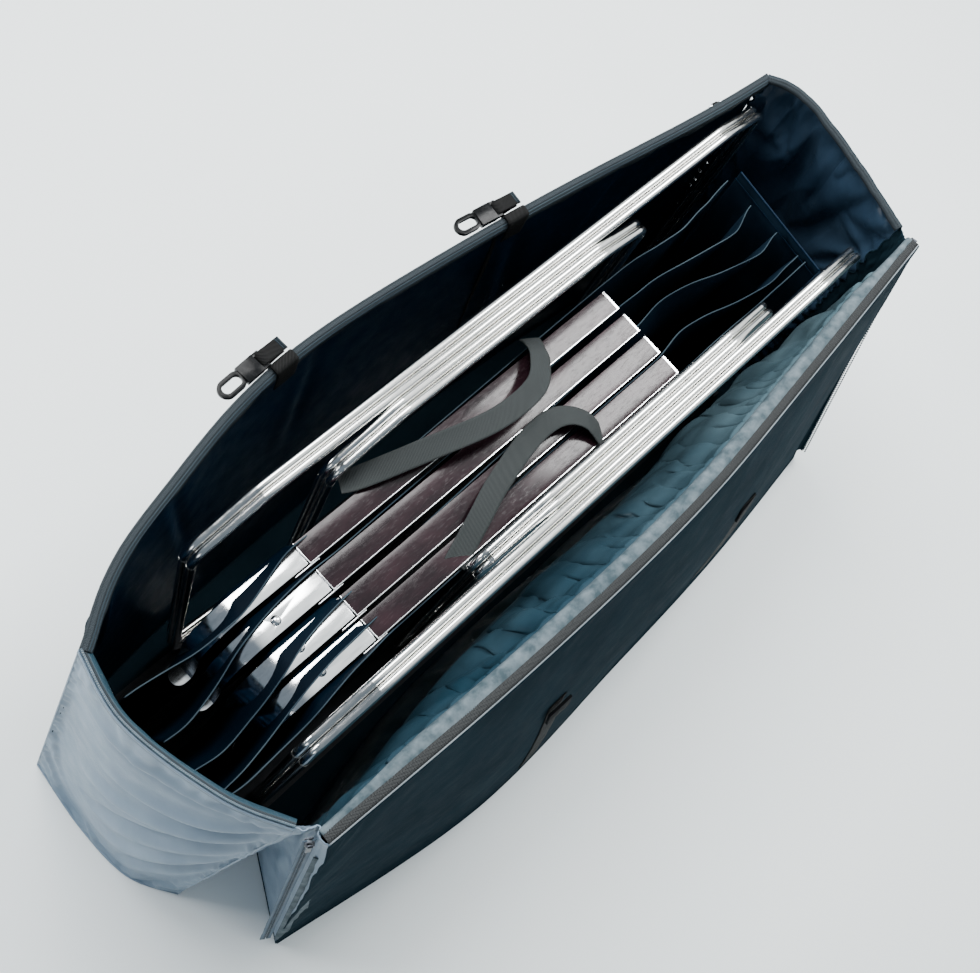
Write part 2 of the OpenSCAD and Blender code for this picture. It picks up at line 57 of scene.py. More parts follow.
# Sizes that several functions share.
CLOTH_T = 1.4 * MM
TRIM_T = 0.9 * MM
TAPE_T = 0.7 * MM
SAME_LEVEL = 0.2 * MM
OVERRUN = 0.0015
SHELF = 24 * MM
HANDLE_W = 28 * MM
HANDLE_T = 1.6 * MM
STRAP_W = 30 * MM
SLEEVE_W = 17 * MM
TOOTH_PITCH = 2.7 * MM
TAPE_START = 2.6
ARM_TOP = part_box("desk_arm_1")[1].z
ARM_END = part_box("desk_arm_1")[0].x
LEDGE_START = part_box("desk_1")[0].x
ARM_FLAT_END = LEDGE_START - 89 * MM
BAND_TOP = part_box("divider_end_band")[1].z
FIRST_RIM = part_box("back_wall")[1].z

# Camera, in the frame's terms: where it looks, from which side, how far and how tilted.
AZIMUTH = -81.35
ELEVATION = 64.9
ROLL = 39.7
DISTANCE = 1.661
LENS_MM = 45.66
LOOK_AT = Vector((0.0192, 0.0661, 0.2713))


# ---- shapes in numbers

def mm(*values):
    """Millimetres as metres."""
    return np.array(values) * MM


def even(count):
    return np.linspace(0, 1, count)


def weights(t, n):
    """How much each of n evenly spaced knots counts at each t, for a smooth curve through them."""
    t = np.asarray(t, float)
    s = t * (n - 1)
    i = np.clip(np.floor(s).astype(int), 0, n - 2)
    f = s - i
    shares = 0.5 * np.array([
        -f + 2 * f**2 - f**3, 2 - 5 * f**2 + 3 * f**3, f + 4 * f**2 - 3 * f**3, f**3 - f**2
    ])
    w = np.zeros((len(t), n))
    for k in range(4):
        np.add.at(w, (np.arange(len(t)), np.clip(i - 1 + k, 0, n - 1)), shares[k])
    return w


def smooth_path(knots, count):
    knots = np.asarray(knots, float)
    return weights(even(count), len(knots)) @ knots


def like(vector, path):
    """The same vector at every point of a path."""
    return np.broadcast_to(vector, path.shape)


def unit(v):
    return v / np.maximum(np.linalg.norm(v, axis=-1, keepdims=True), 1e-12)


def lengths(path):
    """Length along a path, at each of its points."""
    steps = np.linalg.norm(np.diff(path, axis=0), axis=1)
    return np.concatenate([[0], np.cumsum(steps)])


def smoothed(values, width):
    """Values with their corners rounded off over an odd number of neighbours."""
    window = np.hanning(width)
    padded = np.pad(values, width // 2, mode="edge")
    return np.convolve(padded, window / window.sum(), mode="valid")


def step(x, start, end):
    """From 0 to 1, with a soft start and end."""
    t = np.clip((x - start) / (end - start), 0, 1)
    return t * t * (3 - 2 * t)


def noise(x, y, seed):
    """Smooth noise from -1 to 1, with one hill or hollow for each whole step of x and y."""
    lattice = np.random.RandomState(seed).rand(128, 128) * 2 - 1
    x, y = np.broadcast_arrays(np.asarray(x, float), np.asarray(y, float))
    xi, yi = np.floor(x).astype(int), np.floor(y).astype(int)
    fx, fy = x - xi, y - yi
    fx, fy = fx * fx * (3 - 2 * fx), fy * fy * (3 - 2 * fy)
    at = lambda dx, dy: lattice[(yi + dy) % 128, (xi + dx) % 128]
    low = at(0, 0) * (1 - fx) + at(1, 0) * fx
    high = at(0, 1) * (1 - fx) + at(1, 1) * fx
    return low * (1 - fy) + high * fy


def fold(s, h, start, end, width, depth):
    """One soft fold, width and depth in mm: a ridge and a hollow from start to end, fading at both."""
    width, depth = width * MM, depth * MM
    a, d = np.array(start), np.array(end) - np.array(start)
    size = np.hypot(*d)
    t = ((s - a[0]) * d[0] + (h - a[1]) * d[1]) / size**2
    off = ((s - a[0]) * d[1] - (h - a[1]) * d[0]) / size
    fade = np.clip(1 - (2 * t - 1) ** 2, 0, 1)
    ridge = np.exp(-((off / width) ** 2)) - 0.6 * np.exp(-(((off - 1.7 * width) / width) ** 2))
    return depth * fade * ridge


def gathers(s, down, spacing, depth, reach, slant, seed):
    """Folds, so many mm deep, that start at a seam and fade out below it."""
    x = (s + slant * down) / spacing
    first = 1 - 2 * np.abs(noise(x, down / reach, seed))
    second = noise(2.3 * x, down / reach * 2, seed + 1)
    return depth * MM * np.exp(-((down / reach) ** 1.3)) * (0.75 * first + 0.35 * second)


# ---- meshes

def add_object(name, data):
    obj = bpy.data.objects.new(name, data)
    bpy.context.scene.collection.objects.link(obj)
    return obj


def new_object(name, points, faces, looks, face_looks=None, uv=None, smooth=True):
    mesh = bpy.data.meshes.new(name)
    mesh.from_pydata(np.asarray(points).tolist(), [], [list(f) for f in faces])
    for look in looks:
        mesh.materials.append(LOOKS[look])
    if face_looks is not None:
        mesh.polygons.foreach_set("material_index", np.asarray(face_looks, np.int32))
    mesh.polygons.foreach_set("use_smooth", np.full(len(mesh.polygons), smooth))
    if uv is not None:
        corner = np.zeros(len(mesh.loops), np.int32)
        mesh.loops.foreach_get("vertex_index", corner)
        layer = mesh.uv_layers.new(name="metres")
        layer.data.foreach_set("uv", np.asarray(uv, np.float32)[corner].ravel())
    mesh.update()
    return add_object(name, mesh)


def grid_faces(rows, cols, base=0, flip=False):
    r, c = np.meshgrid(np.arange(rows - 1), np.arange(cols - 1), indexing="ij")
    a = (base + r * cols + c).ravel()
    quads = np.stack([a, a + 1, a + cols + 1, a + cols], axis=1)
    return quads[:, ::-1] if flip else quads


def normals(grid):
    return unit(np.cross(np.gradient(grid, axis=1), np.gradient(grid, axis=0)))


def shell(name, grid, thickness, looks, outward):
    """A closed sheet of cloth round a grid of points: the first look outside, the second inside."""
    n = normals(grid)
    if (n * outward).sum() < 0:
        n = -n
    rows, cols = grid.shape[:2]
    count = rows * cols
    points = np.concatenate([
        (grid + n * thickness / 2).reshape(-1, 3), (grid - n * thickness / 2).reshape(-1, 3)
    ])
    turned = (np.cross(grid[0, 1] - grid[0, 0], grid[1, 0] - grid[0, 0]) * n[0, 0]).sum() < 0
    front = grid_faces(rows, cols, 0, turned)
    back = grid_faces(rows, cols, count, not turned)
    ring = np.concatenate([
        np.arange(cols), np.arange(1, rows) * cols + cols - 1,
        (rows - 1) * cols + np.arange(cols - 2, -1, -1), np.arange(rows - 2, 0, -1) * cols
    ])
    after = np.roll(ring, -1)
    edge = np.stack([ring, ring + count, after + count, after], axis=1)
    edge = edge[:, ::-1] if turned else edge
    faces = np.concatenate([front, back, edge])
    kinds = np.zeros(len(faces))
    kinds[len(front):len(front) + len(back)] = len(looks) - 1
    s = np.stack([lengths(row) for row in grid])
    h = np.stack([lengths(grid[:, c]) for c in range(cols)], axis=1)
    uv = np.stack([s, h], axis=2).reshape(-1, 2)
    return new_object(name, points, faces, looks, kinds, np.concatenate([uv, uv]))


def sweep(name, path, side, up, section, look, closed=False, smooth=True):
    """A solid along a path. section holds [side, up] points, the same all along or one set a point."""
    section = np.asarray(section, float)
    if section.ndim == 2:
        section = np.broadcast_to(section, (len(path), *section.shape))
    rings = path[:, None] + side[:, None] * section[..., :1] + up[:, None] * section[..., 1:]
    n, k = rings.shape[:2]
    i = np.arange(n if closed else n - 1)[:, None]
    j = np.arange(k)[None]
    a, b = (i % n) * k, ((i + 1) % n) * k
    quads = np.stack([a + j, a + (j + 1) % k, b + (j + 1) % k, b + j], axis=2).reshape(-1, 4)
    faces = quads.tolist()
    if not closed:
        faces += [list(range(k))[::-1], [(n - 1) * k + x for x in range(k)]]
    across = lengths(section[0])
    uv = np.stack(np.meshgrid(lengths(path), across, indexing="ij"), axis=2).reshape(-1, 2)
    obj = new_object(name, rings.reshape(-1, 3), faces, [look], None, uv, smooth)
    bm = bmesh.new()
    bm.from_mesh(obj.data)
    bmesh.ops.recalc_face_normals(bm, faces=bm.faces)
    bm.to_mesh(obj.data)
    bm.free()
    return obj


def round_section(radius, sides=8):
    a = np.arange(sides) * 2 * math.pi / sides
    return np.stack([np.cos(a), np.sin(a)], axis=1) * radius


def flat_section(width, thickness, crown=0.0, parts=8):
    """A flat strap's section: its top and its underside, a little crowned."""
    x = np.linspace(-width / 2, width / 2, parts + 1)
    rise = crown * (1 - (2 * x / width) ** 2)
    top = np.stack([x, rise + thickness / 2], axis=1)
    under = np.stack([x[::-1], rise[::-1] - thickness / 2], axis=1)
    return np.concatenate([top, under])


def beside(path):
    """The level direction across a path, and the one that stands on it and on the path."""
    t = unit(np.gradient(path, axis=0))
    side = unit(np.cross(t, like(UP, path)))
    return side, np.cross(side, t)


def resample(path, spacing):
    d = lengths(path)
    at = np.linspace(0, d[-1], max(4, int(d[-1] / spacing)))
    return np.stack([np.interp(at, d, path[:, k]) for k in range(3)], axis=1)


def ribbed(path, section, top, pitch, depth):
    """A section that rises and falls along the path, at its top points, as coiled zip teeth do."""
    rise = 0.5 + 0.5 * np.cos(lengths(path) * 2 * math.pi / pitch)
    out = np.repeat(np.asarray(section, float)[None], len(path), axis=0)
    out[:, top, 1] += depth * rise[:, None]
    return out


def finish_mesh(obj):
    """Applies an object's modifiers, so that only a plain mesh is left."""
    graph = bpy.context.evaluated_depsgraph_get()
    graph.update()
    mesh = bpy.data.meshes.new_from_object(obj.evaluated_get(graph))
    obj.modifiers.clear()
    obj.data = mesh
    return obj


def put(obj, body=BAG):
    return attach(obj, body)


def rounded(node, width, look, body=BAG):
    """A CAD part with its edges rounded by so many millimetres, as moulding and pressing leave them."""
    obj = add_object(node + "_rounded", NODES[node].data.copy())
    bm = bmesh.new()
    bm.from_mesh(obj.data)
    bmesh.ops.remove_doubles(bm, verts=bm.verts, dist=0.02 * MM)
    bmesh.ops.dissolve_limit(bm, angle_limit=math.radians(2), verts=bm.verts, edges=bm.edges)
    bm.to_mesh(obj.data)
    bm.free()
    bevel = obj.modifiers.new("edges", "BEVEL")
    bevel.width = width * MM
    bevel.segments = 3
    bevel.limit_method = "ANGLE"
    bevel.angle_limit = math.radians(35)
    finish_mesh(obj)
    obj.data.materials.clear()
    obj.data.materials.append(LOOKS[look])
    obj.data.polygons.foreach_set("use_smooth", np.full(len(obj.data.polygons), True))
    obj.data.set_sharp_from_angle(angle=math.radians(40))
    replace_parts(obj, node)
    return put(obj, body)


# ---- looks

def plug(tree, socket, value):
    """Gives a socket a fixed value, or links another node's output to it."""
    if isinstance(value, bpy.types.NodeSocket):
        tree.links.new(value, socket)
    else:
        socket.default_value = value


def node(tree, kind, **inputs):
    """A new shader node. The names of its inputs are written with _ for a space."""
    n = tree.nodes.new("ShaderNode" + kind)
    for key, value in inputs.items():
        plug(tree, n.inputs[key.replace("_", " ")], value)
    return n


def shader(name, color, roughness, **settings):
    """Starts the look of this name. Its settings are inputs of the main shader."""
    m = LOOKS[name] = bpy.data.materials.new(name)
    m.use_nodes = True
    tree = m.node_tree
    b = tree.nodes["Principled BSDF"]
    settings.update(Base_Color=(*color, 1), Roughness=roughness)
    for key, value in settings.items():
        plug(tree, b.inputs[key.replace("_", " ")], value)
    return tree, b


def place(tree, scale=(1, 1, 1), kind="Object"):
    coords = node(tree, "TexCoord").outputs[kind]
    return node(tree, "Mapping", Vector=coords, Scale=scale).outputs["Vector"]


def grain(tree, scale, detail=4.0, stretch=(1, 1, 1), rough=0.55):
    where = place(tree, stretch)
    n = node(tree, "TexNoise", Scale=scale, Detail=detail, Roughness=rough, Vector=where)
    return n.outputs["Fac"]


def math_node(tree, operation, *values):
    n = node(tree, "Math")
    n.operation = operation
    for socket, value in zip(n.inputs, values):
        plug(tree, socket, value)
    return n.outputs[0]


def ramp(tree, fac, low, high, start=0.3, end=0.7):
    """From the low colour to the high one, as fac goes from start to end."""
    n = node(tree, "ValToRGB", Fac=fac)
    first, last = n.color_ramp.elements
    first.position, last.position = start, end
    first.color, last.color = (*low, 1), (*high, 1)
    return n.outputs["Color"]


def remap(tree, value, start, end, low=0.0, high=1.0):
    """From low to high, as a value goes from start to end."""
    n = node(tree, "MapRange", Value=value, From_Min=start, From_Max=end, To_Min=low, To_Max=high)
    return n.outputs["Result"]


def vary(tree, b, fac, low, high, start=0.3, end=0.7):
    plug(tree, b.inputs["Base Color"], ramp(tree, fac, low, high, start, end))


def vary_roughness(tree, b, fac, low, high, start=0.3, end=0.7):
    plug(tree, b.inputs["Roughness"], remap(tree, fac, start, end, low, high))


def bump(tree, b, height, strength, distance):
    """Adds relief to a look, of that strength and so many millimetres."""
    n = node(tree, "Bump", Strength=strength, Distance=distance * MM, Height=height)
    normal = b.inputs["Normal"]
    if normal.links:
        plug(tree, n.inputs["Normal"], normal.links[0].from_socket)
    plug(tree, normal, n.outputs["Normal"])


def axes(tree, kind="Object"):
    return node(tree, "SeparateXYZ", Vector=place(tree, kind=kind)).outputs


def ripples(tree, value, pitch):
    return math_node(tree, "SINE", math_node(tree, "MULTIPLY", value, 2 * math.pi / pitch))


def threads(tree, pitch):
    """A plain weave's height, from the piece's own unrolled coordinates in metres."""
    u, v = (ripples(tree, value, pitch) for value in axes(tree, "UV")[:2])
    return math_node(tree, "MULTIPLY_ADD", math_node(tree, "MULTIPLY", u, v), 0.5, 0.5)


def herringbone(tree, pitch, row):
    """Slanting ribs that change side from row to row across a webbing."""
    u, v = axes(tree, "UV")[:2]
    slant = math_node(tree, "ADD", u, math_node(tree, "PINGPONG", v, row))
    return math_node(tree, "MULTIPLY_ADD", ripples(tree, slant, pitch), 0.5, 0.5)


def paler_far(look, far_dark, far_light, start, end):
    """Makes a cloth paler towards the bag's far end, where the light falls into it."""
    tree = LOOKS[look].node_tree
    b = tree.nodes["Principled BSDF"]
    color = b.inputs["Base Color"]
    mix = node(tree, "Mix", Factor=remap(tree, axes(tree)[0], start, end))
    mix.data_type = "RGBA"
    plug(tree, mix.inputs[6], color.links[0].from_socket)
    plug(tree, mix.inputs[7], ramp(tree, grain(tree, 9, 5), far_dark, far_light, 0.35, 0.7))
    plug(tree, color, mix.outputs[2])


def cloth(name, dark, light, roughness, sheen=0.0, crumple=0.5, coat=0.0, shine=0.06, mottle=9):
    tree, b = shader(
        name, dark, roughness, Sheen_Weight=sheen, Sheen_Roughness=0.4,
        Sheen_Tint=(0.55, 0.75, 0.9, 1), Coat_Weight=coat, Coat_Roughness=0.35,
        Specular_IOR_Level=shine
    )
    vary(tree, b, grain(tree, mottle, 5), dark, light, 0.35, 0.7)
    vary_roughness(tree, b, grain(tree, 35, 3), roughness - 0.06, roughness + 0.1)
    bump(tree, b, threads(tree, 1.1 * MM), 0.35, 0.12)
    bump(tree, b, grain(tree, 90, 4), crumple, 0.5)


def woven_tape(name, dark, light, roughness, pitch, row):
    """Ribbed tape or webbing; the pitch and row of its weave are in millimetres."""
    tree, b = shader(name, dark, roughness, Specular_IOR_Level=0.03)
    ribs = herringbone(tree, pitch * MM, row * MM)
    vary(tree, b, ribs, dark, light, 0.15, 0.85)
    bump(tree, b, ribs, 0.8, 0.35)
    bump(tree, b, grain(tree, 400, 3), 0.3, 0.2)


def chrome(name, color, roughness, streaks=(1, 1, 1)):
    tree, b = shader(name, color, roughness, Metallic=1.0)
    vary(tree, b, grain(tree, 60, 4, streaks), tuple(0.8 * c for c in color), color, 0.25, 0.55)
    vary_roughness(tree, b, grain(tree, 90, 5, streaks), roughness, roughness + 0.12, 0.4, 0.75)
    bump(tree, b, grain(tree, 220, 3, streaks), 0.12, 0.15)


def enamel(name, dark, light):
    middle = (0.014, 0.007, 0.009)
    tree, b = shader(name, middle, 0.2, Coat_Weight=0.08, Coat_Roughness=0.1, Specular_IOR_Level=0.26)
    vary(tree, b, grain(tree, 14, 4, (1, 3, 1)), dark, light, 0.35, 0.7)
    scuffs = grain(tree, 320, 6, (0.25, 1, 1), 0.7)
    vary_roughness(tree, b, scuffs, 0.16, 0.42, 0.45, 0.75)
    bump(tree, b, scuffs, 0.15, 0.1)


def plastic(name, color, roughness, shine=0.5):
    tree, b = shader(name, color, roughness, Specular_IOR_Level=shine)
    vary(tree, b, grain(tree, 60, 4), color, tuple(1.9 * c for c in color), 0.4, 0.8)
    vary_roughness(tree, b, grain(tree, 150, 4), roughness - 0.08, roughness + 0.12)
    bump(tree, b, grain(tree, 900, 2), 0.25, 0.1)


def board_look(name):
    tree, b = shader(name, (0.012, 0.015, 0.02), 0.7)
    vary(tree, b, grain(tree, 300, 5, (1, 4, 1)), (0.009, 0.012, 0.016), (0.022, 0.026, 0.032))
    bump(tree, b, grain(tree, 500, 3, (1, 5, 1)), 0.4, 0.3)


def make_looks():
    steel = (0.93, 0.94, 0.95)
    black = (0.003, 0.0034, 0.004)
    cloth("shell_cloth", (0.0065, 0.0175, 0.0255), (0.011, 0.026, 0.036), 0.8, shine=0.015)
    # Painted light: the near end's outside is the shell's navy fabric, given a much paler colour that
    # stands in for the strong light falling on that end.
    cloth("end_cloth", (0.145, 0.205, 0.275), (0.205, 0.275, 0.35), 0.42, sheen=0.1, shine=0.3)
    cloth("lining_cloth", (0.010, 0.030, 0.045), (0.022, 0.050, 0.068), 0.36, coat=0.12)
    cloth("inner_cloth", (0.0012, 0.008, 0.020), (0.003, 0.014, 0.031), 0.42)
    # Painted light: the far end's inside is the inner lining's fabric, given a paler colour that stands
    # in for the light reaching into that end.
    cloth("painted_lit_far_lining", (0.018, 0.040, 0.072), (0.034, 0.066, 0.108), 0.32, coat=0.45)
    cloth("facing_cloth", (0.045, 0.068, 0.08), (0.135, 0.17, 0.19), 0.6, crumple=1.0, mottle=70)
    cloth("divider_cloth", (0.0005, 0.003, 0.007), (0.0012, 0.006, 0.012), 0.5, shine=0.03)
    cloth("divider_edge", (0.02, 0.035, 0.048), (0.05, 0.075, 0.09), 0.5)
    cloth("corner_tape", (0.07, 0.11, 0.15), (0.13, 0.18, 0.23), 0.5)
    board_look("base_board")
    woven_tape("zip_tape", (0.014, 0.019, 0.023), (0.055, 0.066, 0.074), 0.55, 1.6, 2)
    woven_tape("hem_tape", (0.012, 0.0135, 0.015), (0.062, 0.065, 0.066), 0.5, 1.9, 5)
    plastic("zip_teeth", (0.035, 0.06, 0.08), 0.35)
    cloth("piping", (0.17, 0.20, 0.22), (0.26, 0.29, 0.31), 0.5)
    chrome("slider_metal", (0.055, 0.06, 0.07), 0.28)
    chrome("ring_wire", (0.85, 0.87, 0.88), 0.15)
    woven_tape("webbing", (0.0035, 0.0038, 0.004), (0.021, 0.021, 0.021), 0.6, 2.2, 40)
    woven_tape("handle_webbing", (0.004, 0.006, 0.007), (0.066, 0.073, 0.073), 0.6, 1.8, 40)
    plastic("buckle_plastic", black, 0.6, 0.02)
    plastic("clip_plastic", black, 0.2, 0.1)
    chrome("tube_chrome", (0.90, 0.895, 0.87), 0.13, (0.15, 3, 3))
    enamel("desk_enamel", (0.008, 0.0035, 0.0055), (0.024, 0.010, 0.014))
    chrome("edge_chrome", steel, 0.16, (0.3, 2, 2))
    chrome("arm_chrome", steel, 0.12, (0.3, 2, 2))
    chrome("rivet_chrome", steel, 0.1)
    paler_far("divider_cloth", (0.007, 0.018, 0.032), (0.013, 0.030, 0.050), 0.18, 0.40)
    paler_far("lining_cloth", (0.050, 0.088, 0.105), (0.10, 0.155, 0.175), -0.08, 0.52)


make_looks()


# ---- cloth walls

def blend(grid, v, u):
    """A grid's smooth surface, at shares v up it and u along it."""
    rows, cols = grid.shape[:2]
    return np.einsum("ri,cj,ijk->rck", weights(v, rows), weights(u, cols), grid)


def unique_points(node):
    co = np.array([v.co for v in NODES[node].data.vertices], float)
    return np.unique(np.round(co, 5), axis=0)


class Wall:
    """A CAD cloth wall, read as a smooth surface: u runs along it and v from the floor to its rim."""

    def __init__(self, node, run_axis, out_axis, out_sign):
        co = unique_points(node)
        rows = []
        for z in np.unique(np.round(co[:, 2], 4)):
            row = co[np.abs(co[:, 2] - z) < SAME_LEVEL]
            pairs = row[np.argsort(row[:, run_axis])].reshape(-1, 2, 3)
            rows.append(pairs.mean(axis=1))
        self.node = node
        self.grid = np.array(rows)
        self.out = np.zeros(3)
        self.out[out_axis] = out_sign

    def surface(self, u, v):
        return blend(self.grid, v, u)

    def outward(self, grid):
        n = normals(grid)
        return n if (n * self.out).sum() > 0 else -n

    def size(self):
        p = self.surface(even(60), even(12))
        return lengths(p[6])[-1], lengths(p[:, 30])[-1]


WALLS = {
    "back": Wall("back_wall", 0, 1, 1),
    "front": Wall("front_wall", 0, 1, -1),
    "lining": Wall("front_lining", 0, 1, -1),
    "near": Wall("near_end_panel", 1, 0, -1),
    "far": Wall("far_end_panel", 1, 0, 1),
}


def slacken(grid, growth, frames, cap):
    """A sheet cut too large by a share, growth, buckles between its held edges by at most cap."""
    rows, cols = grid.shape[:2]
    obj = new_object("slack", grid.reshape(-1, 3), grid_faces(rows, cols), [])
    held = obj.vertex_groups.new(name="held")
    edge = np.zeros((rows, cols), bool)
    edge[[0, -1]] = True
    edge[:, [0, -1]] = True
    held.add(np.flatnonzero(edge.ravel()).tolist(), 1.0, "REPLACE")
    cloth_mod = obj.modifiers.new("cloth", "CLOTH")
    s = cloth_mod.settings
    s.vertex_group_mass = "held"
    s.quality = 5
    s.mass = 0.2
    s.tension_stiffness = s.compression_stiffness = 12
    s.shear_stiffness = 4
    s.bending_stiffness = 0.25
    s.shrink_min = -growth
    s.effector_weights.gravity = 0.3
    cloth_mod.point_cache.frame_end = frames
    for f in range(1, frames + 1):
        bpy.context.scene.frame_set(f)
    graph = bpy.context.evaluated_depsgraph_get()
    made = obj.evaluated_get(graph).to_mesh()
    co = np.zeros(rows * cols * 3)
    made.vertices.foreach_get("co", co)
    bpy.data.objects.remove(obj)
    bpy.context.scene.frame_set(1)
    moved = co.reshape(rows, cols, 3) - grid
    size = np.linalg.norm(moved, axis=2, keepdims=True)
    return grid + moved * np.minimum(1, cap / np.maximum(size, 1e-9))


def make_grid(key, cols, rows, shape, top_dense=1.0, slack=None):
    """A wall's surface with its folds. Where slack is given, the cloth first buckles by simulation."""
    wall = WALLS[key]
    u = np.linspace(-OVERRUN, 1 + OVERRUN, cols)
    v = 1 - (1 - even(rows)) ** top_dense
    grid = wall.surface(u, v)
    if slack:
        coarse_rows, coarse_cols, growth, frames, cap = slack
        run = np.linspace(-OVERRUN, 1 + OVERRUN, coarse_cols)
        coarse = wall.surface(run, even(coarse_rows))
        moved = slacken(coarse, growth, frames, cap) - coarse
        grid = grid + blend(moved, v, even(cols))
    length, height = wall.size()
    s = np.broadcast_to(u * length, (rows, cols))
    h = np.broadcast_to((v * height)[:, None], (rows, cols))
    GRIDS[key] = grid + wall.outward(grid) * shape(s, h, length, height)[..., None]


def back_shape(s, h, length, height):
    down = height - h
    held = 1 - np.exp(-((down / 0.05) ** 2)) * 0.75
    broad = 5 * MM * noise(s / 0.16, h / 0.3, 3) * held
    ends = np.exp(-((s / 0.20) ** 2))
    creases = gathers(s, down, 0.055, 3.2, 0.20, 0.5, 11) * (0.35 + ends) * step(down, 0.0, 0.06)
    soft = sum(
        fold(s, h, (a, height - 0.01), (a + slant, height - reach), 13, depth)
        for a, slant, reach, depth in (
            (0.10, 0.05, 0.30, 5), (0.21, -0.03, 0.24, -5), (0.36, 0.05, 0.30, 4),
            (0.62, -0.04, 0.26, 4), (0.86, 0.03, 0.30, 5), (1.02, -0.05, 0.26, 5),
        )
    )
    edge = 2.2 * MM * np.sin(s / 0.062) * np.exp(-((down / 0.05) ** 2)) * step(s, 0.25, 0.6)
    return (broad + creases + soft + edge) * step(h, 0, 0.05)


def near_shape(s, h, length, height):
    down = height - h
    sweep_folds = sum(
        fold(s, h, (0.0, height - top), (across, height - low), width, depth)
        for top, across, low, width, depth in (
            (0.03, 0.19, 0.20, 9, 3.0), (0.07, 0.21, 0.30, 11, 3.8), (0.12, 0.20, 0.40, 10, -3.4),
            (0.18, 0.17, 0.47, 10, 3.6), (0.25, 0.13, 0.50, 9, -3.0), (0.02, 0.26, 0.10, 8, 1.6),
        )
    )
    to_back = length - s
    back_side = gathers(to_back, down, 0.03, 2.0, 0.30, 0.4, 21) * np.exp(-((to_back / 0.06) ** 2))
    broad = 3.0 * MM * noise(s / 0.11, h / 0.16, 5)
    fine = 0.7 * MM * noise(s / 0.03 + h / 0.02, h / 0.07, 8)
    folds = 3.0 * sweep_folds + back_side + broad + fine
    return folds * step(h, 0, 0.04) * step(down, -0.001, 0.03) * step(to_back, -0.002, 0.025)


def far_shape(s, h, length, height):
    down = height - h
    seam = gathers(s, down, 0.016, 2.6, 0.035, 0.2, 31)
    tall = gathers(s, down, 0.042, 8.5, 0.26, -0.25, 33)
    broad = 6 * MM * noise(s / 0.10, h / 0.22, 35)
    return -(seam + tall + broad) * step(h, 0, 0.05) * (0.12 + 0.88 * step(down, 0.0, 0.05))


def front_shape(s, h, length, height):
    down = height - h
    broad = 3.5 * MM * noise(s / 0.2, h / 0.3, 41)
    light = gathers(s, down, 0.08, 1.4, 0.30, 0.3, 43)
    corner = gathers(s, down, 0.03, 4, 0.5, 0.6, 45) * np.exp(-((s / 0.07) ** 2))
    return (broad + light + corner) * step(h, 0, 0.04) * step(down, -0.001, 0.05)


def lining_shape(s, h, length, height):
    """The lining turns in level from the hem, then drops, with short tucks below that shelf."""
    down = height - h
    shelf = -SHELF * step(down, 0.001, 0.022) * (1 - step(down, 0.07, 0.26))
    end = np.minimum(s, length - s)
    near_end = np.exp(-((s / 0.34) ** 2))
    tucks = gathers(s, np.maximum(down - 0.02, 0), 0.075, 11, 0.14, 1.1, 51)
    small = gathers(s, np.maximum(down - 0.018, 0), 0.034, 6, 0.07, 0.9, 55) * (0.35 + near_end)
    broad = 5 * MM * noise(s / 0.15, h / 0.2, 57)
    loose = step(down, 0.016, 0.055) * step(h, 0, 0.06) * step(end, 0, 0.03)
    sag = -30 * MM * step(down, 0.02, 0.13) * (1 - step(down, 0.17, 0.38)) * step(end, 0.04, 0.28)
    return shelf * (0.35 + 0.65 * step(end, 0, 0.12)) + sag + (tucks + small + broad) * loose


def cloth_piece(name, grid, looks, out, node):
    """A sheet that replaces a CAD node. Its slot has the name of its outer look."""
    obj = shell(name, grid, CLOTH_T, looks, out)
    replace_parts(obj, node)
    put(obj)


def make_walls():
    """The five walls. A slack sheet gives its coarse rows and columns, growth, frames and cap."""
    near_slack = (60, 34, 0.012, 18, 6 * MM)
    far_slack = (60, 44, 0.045, 22, 16 * MM)
    lining_slack = (48, 110, 0.02, 18, 9 * MM)
    make_grid("back", 300, 90, back_shape, 1.3)
    make_grid("near", 110, 120, near_shape, 1.0, near_slack)
    make_grid("far", 150, 110, far_shape, 1.3, far_slack)
    make_grid("front", 240, 80, front_shape)
    make_grid("lining", 320, 120, lining_shape, 2.2, lining_slack)
    for key, name, outside, inside in (
        ("back", "back_cloth", "shell_cloth", "inner_cloth"),
        # The near end's outside takes the paler look whose colour is painted light.
        ("near", "near_end_cloth", "end_cloth", "inner_cloth"),
        # The far end's inside takes the paler lining look whose colour is painted light.
        ("far", "far_end_cloth", "shell_cloth", "painted_lit_far_lining"),
        ("front", "front_cloth", "shell_cloth", "inner_cloth"),
        ("lining", "front_lining_cloth", "lining_cloth", "lining_cloth"),
    ):
        cloth_piece(name, GRIDS[key], [outside, inside], WALLS[key].out, WALLS[key].node)


def fold_line(panel):
    """The crease of a corner fold, as its foot and its rim: its points farthest into the bag."""
    co = unique_points(panel + "_gusset")
    ends = []
    for z in (co[:, 2].min(), co[:, 2].max()):
        row = co[np.abs(co[:, 2] - z) < SAME_LEVEL]
        ends.append(row[np.argmax(row[:, 0]) if panel == "near" else np.argmin(row[:, 0])])
    return np.array(ends)


